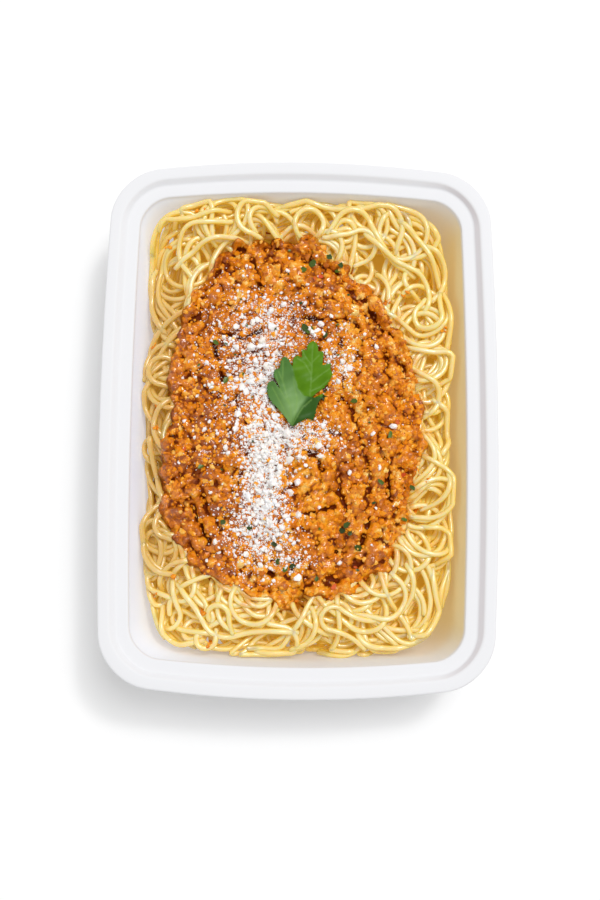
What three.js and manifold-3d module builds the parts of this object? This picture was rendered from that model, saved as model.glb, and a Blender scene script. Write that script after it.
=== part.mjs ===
// Spaghetti bolognese in a rectangular takeaway tray: a bed of spaghetti, an oval
// heap of mince sauce with grated cheese and herb flecks, and one parsley leaf.
// Millimetres, +Z up. The origin is the middle of the tray's flat underside,
// +X runs across the tray and +Y along it.

import * as THREE from 'three';
import { mergeVertices } from 'three/addons/utils/BufferGeometryUtils.js';
import Module from 'manifold-3d';

// ---- Driving dimensions ---------------------------------------------------

const gap = 0.3; // clearance kept between pieces that touch

// The tray is a thin plastic sheet. Insets are given as [across, along].
const trayLength = 222;
const trayWidth = 163.4;
const trayHeight = 48;
const sheetThickness = 1.0;
const sideBow = 0.038; // share by which the long sides draw in at the ends
const endBow = 0.058; // share by which the short sides draw in at the corners
const rimCornerRadius = 19.8;
const flangeInnerRadius = 18.4;
const stepFootRadius = 15;
const wallCornerRadius = 13.6;
const flangeWidth = [5.0, 5.3];
const flangeSkirt = 3.2; // height of the turned-down outer edge
const skirtThickness = 1.6;
const rimRounding = 0.9;
const stepRun = [2.7, 2.1];
const stepDrop = 2.4;
const ledgeWidth = [5.0, 5.3];
const ledgeCornerRadius = 12.1;
const wallRun = 6.0; // how far the wall leans in between the ledge and the floor
const floorThickness = 1.2;
const floorFillet = 8.0;
const floorInset = [0.97, 0.98]; // the flat floor's share of the fillet's foot

// The bed of spaghetti fills the tray to a rounded outline.
const heapHalf = [64.4, 94];
const heapSquareness = 5.2; // exponent of the outline, 2 would be an ellipse
const heapEdgeLevel = 27.5; // height of the bed next to the wall
const bedLevel = 31; // height of the flat stretch under the sauce
const bankFall = 1.6; // exponent of the bed's fall from the sauce to the wall
const farBank = 6.5; // how much higher the bed lies against the far end wall
const farBankSpan = [60, 94]; // the stretch of Y over which it rises
const heapInset = 1.5; // how far the bed's flank stands off the wall
const heapWaves = 0.7; // height of the swells in the bed
const flankUnevenness = 0.6;
const flankLifts = [0, 3, 10]; // heights above the floor where the flank is shaped
const bedShares = [1, 0.85, 0.6, 0.3, 0]; // rings between the wall and the sauce
const bedDirections = 40;
const noodleDiameter = 2.3;
const noodleSides = 5;
const noodleSteps = 16;
const noodleStops = 14; // points that a strand is led through
const noodleCount = 16;
const noodleLength = [75, 105];
const noodleLane = [0.35, 0.75]; // share of the way from the sauce to the wall
const noodleSwing = [0.2, 0.5]; // how far a strand swings out of its lane
const noodleWaves = [0.8, 1.7]; // swings in one strand
const noodleCurl = [0, 0.5]; // how unevenly a strand runs on along its lane
const noodleLayers = [0.1, 0.9]; // height of the layers in radii
const noodleTuck = 0.12; // share of a strand that sinks in at either end

// The sauce is an oval heap. Its reach from its middle is given every 30 degrees.
const sauceMiddle = [-2.2, 4.4];
const sauceReach = [54, 56, 63, 77, 73, 58, 51, 62, 76, 78, 74, 59];
const sauceCrest = 6.6; // height of the smooth heap above the bed
const sauceRoundness = 3.2; // exponent of the heap's fall to its edge
const sauceRelief = 1.0; // height of the folds and crumbs on it
const sauceEdgeHeight = 1.2;
const sauceDirections = 54;
const sauceShares = [1, 0.96, 0.9, 0.82, 0.73, 0.64, 0.55, 0.46, 0.37, 0.28, 0.18, 0.09];
const sauceUndercut = 0.97; // share of the reach at the heap's foot
const crumbCount = 30;
const crumbDiameter = [2.8, 5.2];
const cheeseCount = 38;
const cheeseDiameter = [1.7, 3.8];
const herbCount = 7;
const herbDiameter = [2.0, 3.0];
const strewnReach = [0.25, 0.93]; // share of the sauce's reach where crumbs and herbs lie

// The trail of cheese runs over the heap from the far left to the near end.
const cheeseTrail = [[-29, 66], [-20, 46], [-15, 24], [-16, 2], [-11, -22], [-17, -56]];
const cheeseSpread = 9;

// The leaf lies on the crest. Its pointed lobes are [direction, reach, half width], in
// degrees, mm and degrees, seen from its foot with 0 degrees along +Y and +X positive.
const leafFoot = [-2.6, -0.4];
const leafThickness = 0.6;
const leafLobes = [
  [-28, 21.5, 16], [-14, 25, 12], [-5, 29.5, 14], [13, 36.5, 22],
  [32, 31, 12], [41, 21.5, 14], [62, 11, 26],
];
const leafSides = [-44, 74];
const leafWave = 1.1;
const leafSpokes = 40;
const leafRings = 3;
const lobeDepth = 0.55; // share of its reach that a lobe loses at its half width
const lobeSharpness = 1.2;
const leafStart = 0.12; // share of the reach at which the blade starts
const leafMargin = 3.5; // clear ring round the leaf

// ---- Shared shapes --------------------------------------------------------

const wasm = await Module();
wasm.setup();

/** A repeatable stream of numbers between 0 and 1. */
function seededStream(seed) {
  let state = seed;
  return () => {
    state = (state * 1664525 + 1013904223) % 4294967296;
    return state / 4294967296;
  };
}

function mix(low, high, share) {
  return low + (high - low) * share;
}

/** 0 below the start, 1 above the end, and a smooth rise between them. */
function rise(value, start, end) {
  const share = THREE.MathUtils.clamp((value - start) / (end - start), 0, 1);
  return share * share * (3 - 2 * share);
}

/** Closes a stack of equally long rings with a point in the middle of each end ring. */
function loftGeometry(rings) {
  const size = rings[0].length;
  const points = rings.flat();
  const middle = (ring) => ring
    .reduce((sum, point) => sum.add(point), new THREE.Vector3())
    .divideScalar(size);
  points.push(middle(rings[0]), middle(rings[rings.length - 1]));
  const faces = [];
  const last = size * (rings.length - 1);
  for (let step = 0; step < size; step += 1) {
    const next = (step + 1) % size;
    faces.push(points.length - 2, next, step);
    faces.push(points.length - 1, last + step, last + next);
    for (let base = 0; base < last; base += size) {
      faces.push(base + step, base + next, base + size + next);
      faces.push(base + step, base + size + next, base + size + step);
    }
  }
  const geometry = new THREE.BufferGeometry();
  geometry.setAttribute('position', new THREE.Float32BufferAttribute(
    points.flatMap((point) => point.toArray()), 3));
  geometry.setIndex(faces);
  return geometry;
}

const mergeDistance = 1e-4;

function toSolid(geometry) {
  const bare = geometry.clone();
  bare.deleteAttribute('normal');
  bare.deleteAttribute('uv');
  const merged = mergeVertices(bare, mergeDistance);
  return new wasm.Manifold(new wasm.Mesh({
    numProp: 3,
    vertProperties: new Float32Array(merged.attributes.position.array),
    triVerts: new Uint32Array(merged.index.array),
  }));
}

/** Joins the pieces to the core and keeps the one body that they make together. */
function fuse(core, pieces) {
  const joined = pieces.reduce((solid, piece) => solid.add(toSolid(piece)), toSolid(core));
  const bodies = joined.decompose().sort((a, b) => b.volume() - a.volume());
  const mesh = bodies[0].getMesh();
  const geometry = new THREE.BufferGeometry();
  geometry.setAttribute('position', new THREE.BufferAttribute(
    new Float32Array(mesh.vertProperties), 3));
  geometry.setIndex(new THREE.BufferAttribute(new Uint32Array(mesh.triVerts), 1));
  return geometry;
}

// ---- Tray -----------------------------------------------------------------

const cornerSteps = 6;
const sideSteps = 4;

/** A rounded rectangle whose four sides bow outwards in the middle. */
function trayRing(halfWidth, halfLength, radius, height) {
  const quarters = [[1, 1, 0], [-1, 1, 90], [-1, -1, 180], [1, -1, 270]];
  const corners = quarters.map(([sideX, sideY, start]) => {
    const arc = [];
    for (let step = 0; step <= cornerSteps; step += 1) {
      const angle = THREE.MathUtils.degToRad(start + (90 * step) / cornerSteps);
      arc.push(new THREE.Vector2(
        sideX * (halfWidth - radius) + radius * Math.cos(angle),
        sideY * (halfLength - radius) + radius * Math.sin(angle)));
    }
    return arc;
  });
  const outline = [];
  corners.forEach((arc, index) => {
    outline.push(...arc);
    const from = arc[arc.length - 1];
    const to = corners[(index + 1) % corners.length][0];
    for (let step = 1; step < sideSteps; step += 1) {
      outline.push(from.clone().lerp(to, step / sideSteps));
    }
  });
  return outline.map(({ x, y }) => new THREE.Vector3(
    x * (1 - sideBow * (y / (trayLength / 2)) ** 2),
    y * (1 - endBow * (x / (trayWidth / 2)) ** 2),
    height));
}

const rimOuter = [trayWidth / 2, trayLength / 2];
const rimInner = rimOuter.map((half, side) => half - flangeWidth[side]);
const stepFoot = rimInner.map((half, side) => half - stepRun[side]);
const ledgeInner = stepFoot.map((half, side) => half - ledgeWidth[side]);
const ledgeLevel = trayHeight - stepDrop;

/** How far the inner wall stands inside the ledge's edge at a height. */
function wallInset(height) {
  const lean = (wallRun * (ledgeLevel - height)) / (ledgeLevel - floorThickness);
  const drop = THREE.MathUtils.clamp(
    (floorThickness + floorFillet - height) / floorFillet, 0, 1);
  return lean + floorFillet * (1 - Math.sqrt(1 - drop * drop));
}

function makeTray() {
  const ring = (half, inset, radius, height) => (
    trayRing(half[0] - inset, half[1] - inset, radius, height));
  const wallRing = (height, outwards) => ring(
    ledgeInner, wallInset(height) - outwards, wallCornerRadius + outwards, height);
  const underLedge = ledgeLevel - sheetThickness;
  const underFlange = trayHeight - sheetThickness;
  const skirtFoot = trayHeight - flangeSkirt;
  const filletShares = [0.06, 0.35, 1];
  const wallLevels = filletShares.map((share) => floorThickness + floorFillet * share);
  const outerSkin = [
    wallRing(wallLevels[0], sheetThickness).map((point) => point.setZ(0)),
    ...wallLevels.slice(1).map((height) => wallRing(height, sheetThickness)),
    ring(ledgeInner, -sheetThickness, ledgeCornerRadius + sheetThickness, underLedge),
    ring(stepFoot, -sheetThickness, stepFootRadius + sheetThickness, underLedge),
    ring(rimInner, -sheetThickness, flangeInnerRadius, underFlange),
    ring(rimOuter, skirtThickness, flangeInnerRadius, underFlange),
    ring(rimOuter, sheetThickness, rimCornerRadius - sheetThickness, skirtFoot),
    ring(rimOuter, 0, rimCornerRadius, skirtFoot),
  ];
  const innerSkin = [
    ring(rimOuter, rimRounding / 3, rimCornerRadius - rimRounding / 3, trayHeight - rimRounding),
    ring(rimOuter, rimRounding, rimCornerRadius - rimRounding, trayHeight),
    ring(rimInner, 0, flangeInnerRadius, trayHeight),
    ring(stepFoot, 0, stepFootRadius, ledgeLevel),
    ring(ledgeInner, 0, ledgeCornerRadius, ledgeLevel),
    ...wallLevels.slice().reverse().map((height) => wallRing(height, 0)),
    wallRing(wallLevels[0], 0).map((point) => point.setZ(floorThickness)
      .multiply(new THREE.Vector3(...floorInset, 1))),
  ];
  return loftGeometry([...outerSkin, ...innerSkin]);
}

// ---- Sauce outline and heights --------------------------------------------

/** Reach of the sauce from its middle, smooth between the given directions. */
function sauceEdge(angle) {
  const count = sauceReach.length;
  const place = ((angle / (2 * Math.PI)) * count + 2 * count) % count;
  const index = Math.floor(place);
  const t = place - index;
  const at = (offset) => sauceReach[(index + offset + count) % count];
  const [a, b, c, d] = [at(-1), at(0), at(1), at(2)];
  return b + 0.5 * t * (c - a + t * (2 * a - 5 * b + 4 * c - d + t * (3 * (b - c) + d - a)));
}

/** The heap without its relief: steep at the edge and nearly level on top. */
function sauceMound(x, y) {
  const dx = x - sauceMiddle[0];
  const dy = y - sauceMiddle[1];
  const share = Math.hypot(dx, dy) / sauceEdge(Math.atan2(dy, dx));
  return bedLevel + gap + sauceCrest * Math.sqrt(Math.max(0, 1 - share ** sauceRoundness));
}

/** Folds that curve round the heap, broken up by bumps the size of mince. */
function sauceFolds(x, y) {
  const fold = Math.sin(x / 5.2 + 1.6 * Math.sin(y / 23) + 0.4);
  const lump = Math.sin(x / 2.3 + 0.9 * y) * Math.sin(y / 2.9 - 0.7 * x);
  return sauceRelief * (0.45 * fold + 0.4 * lump - 0.15);
}

// ---- Spaghetti ------------------------------------------------------------

/** Reach of the bed of spaghetti from the middle of the tray. */
function heapEdge(angle) {
  const across = Math.abs(Math.cos(angle) / heapHalf[0]) ** heapSquareness;
  const along = Math.abs(Math.sin(angle) / heapHalf[1]) ** heapSquareness;
  return (across + along) ** (-1 / heapSquareness);
}

/** Where the sauce's edge stands, seen from the middle of the tray. */
function sauceEdgeFromTray(angle) {
  let reach = sauceEdge(angle);
  for (let pass = 0; pass < 4; pass += 1) {
    const dx = reach * Math.cos(angle) - sauceMiddle[0];
    const dy = reach * Math.sin(angle) - sauceMiddle[1];
    reach += sauceEdge(Math.atan2(dy, dx)) - Math.hypot(dx, dy);
  }
  return reach;
}

/** Height of the bed between the sauce's edge, share 0, and its own edge, share 1. */
function heapLevel(angle, share) {
  const along = heapEdge(angle) * Math.sin(angle);
  const bank = farBank * rise(along, ...farBankSpan) * share;
  const waves = heapWaves * Math.sin(5 * angle + 1) * Math.sin(Math.PI * share);
  return mix(bedLevel, heapEdgeLevel, share ** bankFall) + bank + waves;
}

function makeHeapCore() {
  const radius = noodleDiameter / 2;
  const polarRing = (reachAt, heightAt) => {
    const ring = [];
    for (let step = 0; step < bedDirections; step += 1) {
      const angle = (2 * Math.PI * step) / bedDirections;
      const reach = reachAt(angle);
      ring.push(new THREE.Vector3(
        reach * Math.cos(angle), reach * Math.sin(angle), heightAt(angle)));
    }
    return ring;
  };
  const uneven = (angle) => 0.6 * Math.sin(7 * angle) + 0.8 * Math.sin(11 * angle + 2);
  const skirt = flankLifts.map((lift) => polarRing(
    (angle) => heapEdge(angle) - radius - heapInset - wallInset(floorThickness + gap + lift)
      + uneven(angle) * flankUnevenness,
    () => floorThickness + gap + lift));
  const top = bedShares.map((share) => polarRing(
    (angle) => mix(
      sauceEdgeFromTray(angle) + heapInset,
      heapEdge(angle) - radius - heapInset / 2 + uneven(angle) * share,
      share),
    (angle) => heapLevel(angle, share) - (share === 1 ? noodleDiameter : 0)));
  return loftGeometry([...skirt, ...top]);
}

/** One strand that wanders along the bank between the sauce and the tray wall. */
function makeNoodle(index, random) {
  const radius = noodleDiameter / 2;
  const turnsRound = 2 * Math.PI * (index / noodleCount + 0.04 * random());
  const start = Math.atan2(heapHalf[1] * Math.sin(turnsRound), heapHalf[0] * Math.cos(turnsRound));
  const length = mix(...noodleLength, random());
  const turn = index % 2 ? -1 : 1;
  const lane = mix(...noodleLane, random());
  const swing = mix(...noodleSwing, random());
  const waves = mix(...noodleWaves, random());
  const curl = mix(...noodleCurl, random());
  const phase = 2 * Math.PI * random();
  const layer = mix(...noodleLayers, (index % 3) / 2);
  const points = [];
  let angle = start;
  for (let stop = 0; stop <= noodleStops; stop += 1) {
    const along = stop / noodleStops;
    const wander = lane + swing * Math.sin(2 * Math.PI * waves * along + phase);
    const share = THREE.MathUtils.clamp(wander, 0.02, 1);
    const inner = sauceEdgeFromTray(angle) + radius + 3 * gap;
    const reach = mix(inner, heapEdge(angle), share);
    const ends = rise(along, 0, noodleTuck) * rise(1 - along, 0, noodleTuck);
    points.push(new THREE.Vector3(
      reach * Math.cos(angle),
      reach * Math.sin(angle),
      heapLevel(angle, share) + radius * mix(-0.2, 0.3 + layer, ends)));
    const pace = 1 + curl * Math.cos(2 * Math.PI * waves * along + phase + 1);
    angle += (turn * pace * length) / noodleStops / reach;
  }
  const section = new THREE.Shape();
  for (let side = 0; side < noodleSides; side += 1) {
    const corner = (2 * Math.PI * side) / noodleSides;
    section[side ? 'lineTo' : 'moveTo'](radius * Math.cos(corner), radius * Math.sin(corner));
  }
  section.closePath();
  return new THREE.ExtrudeGeometry(section, {
    steps: noodleSteps,
    bevelEnabled: false,
    extrudePath: new THREE.CatmullRomCurve3(points),
  });
}

function makeSpaghetti() {
  const random = seededStream(71);
  const noodles = Array.from({ length: noodleCount }, (_, index) => makeNoodle(index, random));
  return fuse(makeHeapCore(), noodles);
}

// ---- Sauce with cheese and herbs ------------------------------------------

function makeSauceCore() {
  const ringAt = (share, heightAt) => {
    const ring = [];
    for (let step = 0; step < sauceDirections; step += 1) {
      const angle = (2 * Math.PI * step) / sauceDirections;
      const ragged = 0.985 + 0.012 * Math.sin(9 * angle) + 0.014 * Math.sin(16 * angle + 1);
      const reach = sauceEdge(angle) * share * mix(1, ragged, share);
      const x = sauceMiddle[0] + reach * Math.cos(angle);
      const y = sauceMiddle[1] + reach * Math.sin(angle);
      ring.push(new THREE.Vector3(x, y, heightAt(x, y)));
    }
    return ring;
  };
  const foot = bedLevel + gap;
  const top = sauceShares.slice(1).map((share) => ringAt(share, (x, y) => (
    sauceMound(x, y) + sauceFolds(x, y) * rise(share, 0.05, 0.4))));
  return loftGeometry([
    ringAt(sauceUndercut, () => foot),
    ringAt(sauceShares[0], () => foot + sauceEdgeHeight),
    ...top,
  ]);
}

/** A rough grain with flat facets, turned and stretched at random. */
function makeGrain(place, diameter, flatness, random) {
  const grain = new THREE.IcosahedronGeometry(diameter / 2, 0);
  grain.scale(mix(0.85, 1.2, random()), mix(0.7, 1, random()), flatness);
  grain.rotateZ(2 * Math.PI * random());
  grain.rotateX(0.5 * (random() - 0.5));
  grain.translate(...place);
  return grain;
}

function onSauce(x, y, lift) {
  return [x, y, sauceMound(x, y) + sauceFolds(x, y) + lift];
}

/** The leaf's reach in a direction: each lobe is a point that falls off to its sides. */
function leafReach(direction) {
  const lobes = leafLobes.map(([middle, reach, width]) => (
    reach * (1 - lobeDepth * (Math.abs(direction - middle) / width) ** lobeSharpness)));
  return Math.max(3, ...lobes);
}

function underLeaf(x, y) {
  const dx = x - leafFoot[0];
  const dy = y - leafFoot[1];
  const direction = THREE.MathUtils.radToDeg(Math.atan2(dx, dy));
  return Math.hypot(dx, dy) < leafReach(direction) + leafMargin;
}

function makeSauce() {
  const random = seededStream(29);
  const pieces = [];
  while (pieces.length < crumbCount) {
    const angle = 2 * Math.PI * random();
    const reach = sauceEdge(angle) * mix(...strewnReach, Math.sqrt(random()));
    const x = sauceMiddle[0] + reach * Math.cos(angle);
    const y = sauceMiddle[1] + reach * Math.sin(angle);
    const diameter = mix(...crumbDiameter, random());
    if (!underLeaf(x, y)) {
      pieces.push(makeGrain(onSauce(x, y, 0.1 * diameter), diameter, 0.75, random));
    }
  }
  const trail = new THREE.CatmullRomCurve3(cheeseTrail.map(([x, y]) => new THREE.Vector3(x, y, 0)));
  while (pieces.length < crumbCount + cheeseCount) {
    const middle = trail.getPoint(random());
    const x = middle.x + cheeseSpread * (random() + random() + random() - 1.4);
    const y = middle.y + cheeseSpread * (random() + random() - 1);
    const diameter = mix(...cheeseDiameter, random() ** 2);
    if (!underLeaf(x, y)) {
      pieces.push(makeGrain(onSauce(x, y, 0.2 * diameter), diameter, 0.8, random));
    }
  }
  while (pieces.length < crumbCount + cheeseCount + herbCount) {
    const angle = 2 * Math.PI * random();
    const reach = sauceEdge(angle) * mix(...strewnReach, random());
    const x = sauceMiddle[0] + reach * Math.cos(angle);
    const y = sauceMiddle[1] + reach * Math.sin(angle);
    if (!underLeaf(x, y)) {
      pieces.push(makeGrain(onSauce(x, y, 0.3), mix(...herbDiameter, random()), 0.4, random));
    }
  }
  return fuse(makeSauceCore(), pieces);
}

// ---- Parsley leaf ---------------------------------------------------------

/** A fan of small cells from the leaf's foot, lifted in soft waves over the crest. */
function makeLeaf() {
  const clear = sauceRelief + gap + 0.1;
  const pointAt = (spoke, ring, lift) => {
    const direction = mix(...leafSides, spoke / leafSpokes);
    const share = mix(leafStart, 1, ring / leafRings);
    const reach = leafReach(direction) * share;
    const angle = THREE.MathUtils.degToRad(direction);
    const x = leafFoot[0] + reach * Math.sin(angle);
    const y = leafFoot[1] + reach * Math.cos(angle);
    const wave = leafWave * share * (1 + Math.sin(5 * angle + 0.8) * Math.cos(reach / 9));
    return new THREE.Vector3(x, y, sauceMound(x, y) + clear + wave + lift);
  };
  const lower = [];
  const upper = [];
  for (let ring = leafRings; ring >= 0; ring -= 1) {
    for (let spoke = 0; spoke <= leafSpokes; spoke += 1) {
      lower.push(pointAt(spoke, ring, 0));
      upper.push(pointAt(spoke, ring, leafThickness));
    }
  }
  const row = leafSpokes + 1;
  const sheetSize = lower.length;
  const faces = [];
  const addQuad = (a, b, c, d) => faces.push(a, b, c, a, c, d);
  for (let ring = 0; ring < leafRings; ring += 1) {
    for (let spoke = 0; spoke < leafSpokes; spoke += 1) {
      const corner = ring * row + spoke;
      faces.push(corner, corner + 1, corner + 1 + row, corner, corner + 1 + row, corner + row);
      faces.push(sheetSize + corner, sheetSize + corner + 1 + row, sheetSize + corner + 1);
      faces.push(sheetSize + corner, sheetSize + corner + row, sheetSize + corner + 1 + row);
    }
  }
  for (let spoke = 0; spoke < leafSpokes; spoke += 1) {
    const inner = leafRings * row + spoke;
    addQuad(spoke, sheetSize + spoke, sheetSize + spoke + 1, spoke + 1);
    addQuad(inner, inner + 1, sheetSize + inner + 1, sheetSize + inner);
  }
  for (let ring = 0; ring < leafRings; ring += 1) {
    const first = ring * row;
    const last = first + leafSpokes;
    addQuad(first, first + row, sheetSize + first + row, sheetSize + first);
    addQuad(last, sheetSize + last, sheetSize + last + row, last + row);
  }
  const geometry = new THREE.BufferGeometry();
  geometry.setAttribute('position', new THREE.Float32BufferAttribute(
    [...lower, ...upper].flatMap((point) => point.toArray()), 3));
  geometry.setIndex(faces);
  return geometry;
}

// ---- The whole dish -------------------------------------------------------

function addPiece(group, name, geometry, color, roughness) {
  const material = new THREE.MeshStandardMaterial({ color, roughness, metalness: 0 });
  const mesh = new THREE.Mesh(geometry, material);
  mesh.name = name;
  group.add(mesh);
}

const group = new THREE.Group();
addPiece(group, 'tray', makeTray(), 0xf2f2f5, 0.35);
addPiece(group, 'spaghetti', makeSpaghetti(), 0xe8cf80, 0.4);
addPiece(group, 'sauce', makeSauce(), 0xb5682c, 0.45);
addPiece(group, 'parsley_leaf', makeLeaf(), 0x3f7a2e, 0.5);

export default group;
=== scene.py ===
"""Spaghetti bolognese in a white takeaway tray, dressed for the camera.

Lengths are in millimetres, and a mesh is written in metres in the frame of the solids:
the origin is the middle of the tray's underside, +X across the tray and +Y along it.
"""

import bmesh
import bpy
import numpy as np
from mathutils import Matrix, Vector
from mathutils.geometry import delaunay_2d_cdt


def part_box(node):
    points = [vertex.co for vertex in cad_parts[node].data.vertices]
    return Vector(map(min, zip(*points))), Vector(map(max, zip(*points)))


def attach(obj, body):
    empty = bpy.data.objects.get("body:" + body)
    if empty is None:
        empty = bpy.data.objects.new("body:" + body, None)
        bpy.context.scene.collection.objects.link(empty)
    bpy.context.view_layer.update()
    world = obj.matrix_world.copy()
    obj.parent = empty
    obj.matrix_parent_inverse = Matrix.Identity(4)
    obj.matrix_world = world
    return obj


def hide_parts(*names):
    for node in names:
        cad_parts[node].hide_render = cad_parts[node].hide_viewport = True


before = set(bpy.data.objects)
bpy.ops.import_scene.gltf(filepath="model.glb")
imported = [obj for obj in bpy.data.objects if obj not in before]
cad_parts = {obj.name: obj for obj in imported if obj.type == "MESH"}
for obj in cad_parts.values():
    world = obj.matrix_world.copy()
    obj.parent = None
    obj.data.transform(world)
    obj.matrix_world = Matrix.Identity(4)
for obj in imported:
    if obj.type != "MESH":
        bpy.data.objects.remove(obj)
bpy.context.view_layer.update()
mm = 0.001

# ---- Tray ------------------------------------------------------------------
# The dish is one sheet of white polypropylene drawn into a mould. Its leaning walls end in
# a ledge for the lid, a step up, and a flat flange with a turned-down edge. All sides bow.

tray_low, tray_high = (np.array(corner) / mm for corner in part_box("tray"))
tray_half = (tray_high - tray_low)[:2] / 2
rim_level = tray_high[2]
side_bow = 0.038
end_bow = 0.058
sheet = 1.0
flange_width = np.array([5.0, 5.3])
flange_skirt = 3.2
skirt_lean, skirt_inside, skirt_root = 0.35, 0.9, 1.5
step_run = np.array([2.7, 2.1])
step_drop = 2.4
ledge_width = np.array([5.0, 5.3])
ledge_level = rim_level - step_drop
wall_run = 6.0
floor_level = 1.2
floor_fillet = 8.0
fold_reach = 0.8
rim_radius, flange_radius, step_radius, ledge_radius, floor_radius = 19.8, 18.4, 15.0, 12.1, 13.6


def stack(*columns):
    """Columns of numbers side by side, each stretched to the longest one."""
    return np.stack(np.broadcast_arrays(*columns), axis=-1)


def toward(angle):
    """Unit vectors in plan: the cosine and the sine of each angle."""
    return stack(np.cos(angle), np.sin(angle))


def smooth_step(value, start, end):
    """0 up to start, 1 from end on, and between them 3t^2 - 2t^3 of the share t covered."""
    t = np.clip((value - start) / (end - start), 0, 1)
    return t * t * (3 - 2 * t)


def mesh_piece(name, points, faces, body="root", flat=False):
    """One object from points in mm and whole arrays of faces, with three or four corners each."""
    blocks = [np.asarray(block, dtype=np.int32) for block in faces]
    corners = np.concatenate([block.ravel() for block in blocks])
    sizes = np.concatenate([np.full(len(block), block.shape[1]) for block in blocks])
    mesh = bpy.data.meshes.new(name)
    mesh.vertices.add(len(points))
    mesh.vertices.foreach_set("co", (np.asarray(points) * mm).astype(np.float32).ravel())
    mesh.loops.add(len(corners))
    mesh.loops.foreach_set("vertex_index", corners)
    mesh.polygons.add(len(sizes))
    mesh.polygons.foreach_set("loop_start", np.concatenate([[0], np.cumsum(sizes)[:-1]]))
    mesh.polygons.foreach_set("use_smooth", np.full(len(sizes), not flat))
    mesh.update(calc_edges=True)
    piece = bpy.data.objects.new(name, mesh)
    bpy.context.scene.collection.objects.link(piece)
    if body:
        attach(piece, body)
    return piece


def add_attribute(piece, name, values):
    """One number for each point of a piece, which its material reads by this name."""
    attribute = piece.data.attributes.new(name, "FLOAT", "POINT")
    attribute.data.foreach_set("value", np.asarray(values, dtype=np.float32))


def grid_faces(rows, columns, wrap=True, start=0):
    """Four-cornered faces of a rows x columns grid of points, closed round the columns or not."""
    row = np.arange(rows - 1)[:, None] * columns + start
    column = np.arange(columns if wrap else columns - 1)[None, :]
    after = (column + 1) % columns
    low, high = row + column, row + after
    return np.stack([low, high, high + columns, low + columns], axis=-1).reshape(-1, 4)


def fan_faces(ring, middle, inwards=False):
    """Triangles from a middle point to each side of a ring of point numbers."""
    after = np.roll(ring, -1)
    pair = (after, ring) if inwards else (ring, after)
    return np.stack([np.full(len(ring), middle), *pair], axis=-1)


def closed_faces(rows, columns, start=0):
    """Faces of a run of rings, closed at both ends by fans to the two points after the rings."""
    first, middle = np.arange(columns) + start, start + rows * columns
    return [grid_faces(rows, columns, start=start), fan_faces(first, middle, inwards=True),
            fan_faces(first + (rows - 1) * columns, middle + 1)]


def rounded(profile, reach):
    """Rounds every inner corner of a profile: a quadratic curve leaves the corner's two sides
    at the reach, or at 0.45 of a shorter side, and the corner itself is its control point."""
    before, corner, after = profile[:-2], profile[1:-1], profile[2:]
    into, out = before - corner, after - corner
    cut = [np.minimum(reach, 0.45 * np.linalg.norm(side[:, [0, 3]], axis=1))[:, None]
           * side / np.linalg.norm(side[:, [0, 3]], axis=1)[:, None] for side in (into, out)]
    t = np.linspace(0, 1, 5)[None, :, None]
    first, last = (corner + cut[0])[:, None], (corner + cut[1])[:, None]
    arc = (1 - t) ** 2 * first + 2 * t * (1 - t) * corner[:, None] + t**2 * last
    return np.concatenate([profile[:1], arc.reshape(-1, 4), profile[-1:]])


def tray_surface(stations, arc_steps=14, side_steps=16):
    """Carries a profile round the tray. A station holds its two insets from the rim, its corner
    radius and its height. A ring is the middle of each corner's arc plus the radius times the
    arc's direction, its sides are straight mixes of two arc ends, and then the sides are bowed:
    x shrinks by side_bow (y / half length)^2 and y by end_bow (x / half width)^2."""
    signs, directions = [], []
    quarters = np.array([[1, 1], [-1, 1], [-1, -1], [1, -1]])
    for quarter, sign in enumerate(quarters):
        angle = np.pi / 2 * (quarter + np.linspace(0, 1, arc_steps + 1))
        share = (np.arange(1, side_steps) / side_steps)[:, None]
        onwards = quarters[(quarter + 1) % 4]
        signs += [np.tile(sign, (arc_steps + 1, 1)), sign + (onwards - sign) * share]
        directions += [toward(angle), np.tile(toward(angle[-1:]), (side_steps - 1, 1))]
    sign, direction = np.concatenate(signs), np.concatenate(directions)
    half = tray_half - stations[:, None, :2]
    radius, level = stations[:, None, 2:3], stations[:, None, 3:4]
    plan = sign * (half - radius) + radius * direction
    x, y = plan[..., 0], plan[..., 1]
    bowed_x = x * (1 - side_bow * (y / tray_half[1]) ** 2)
    bowed_y = y * (1 - end_bow * (x / tray_half[0]) ** 2)
    return stack(bowed_x, bowed_y, level[..., 0])


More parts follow.
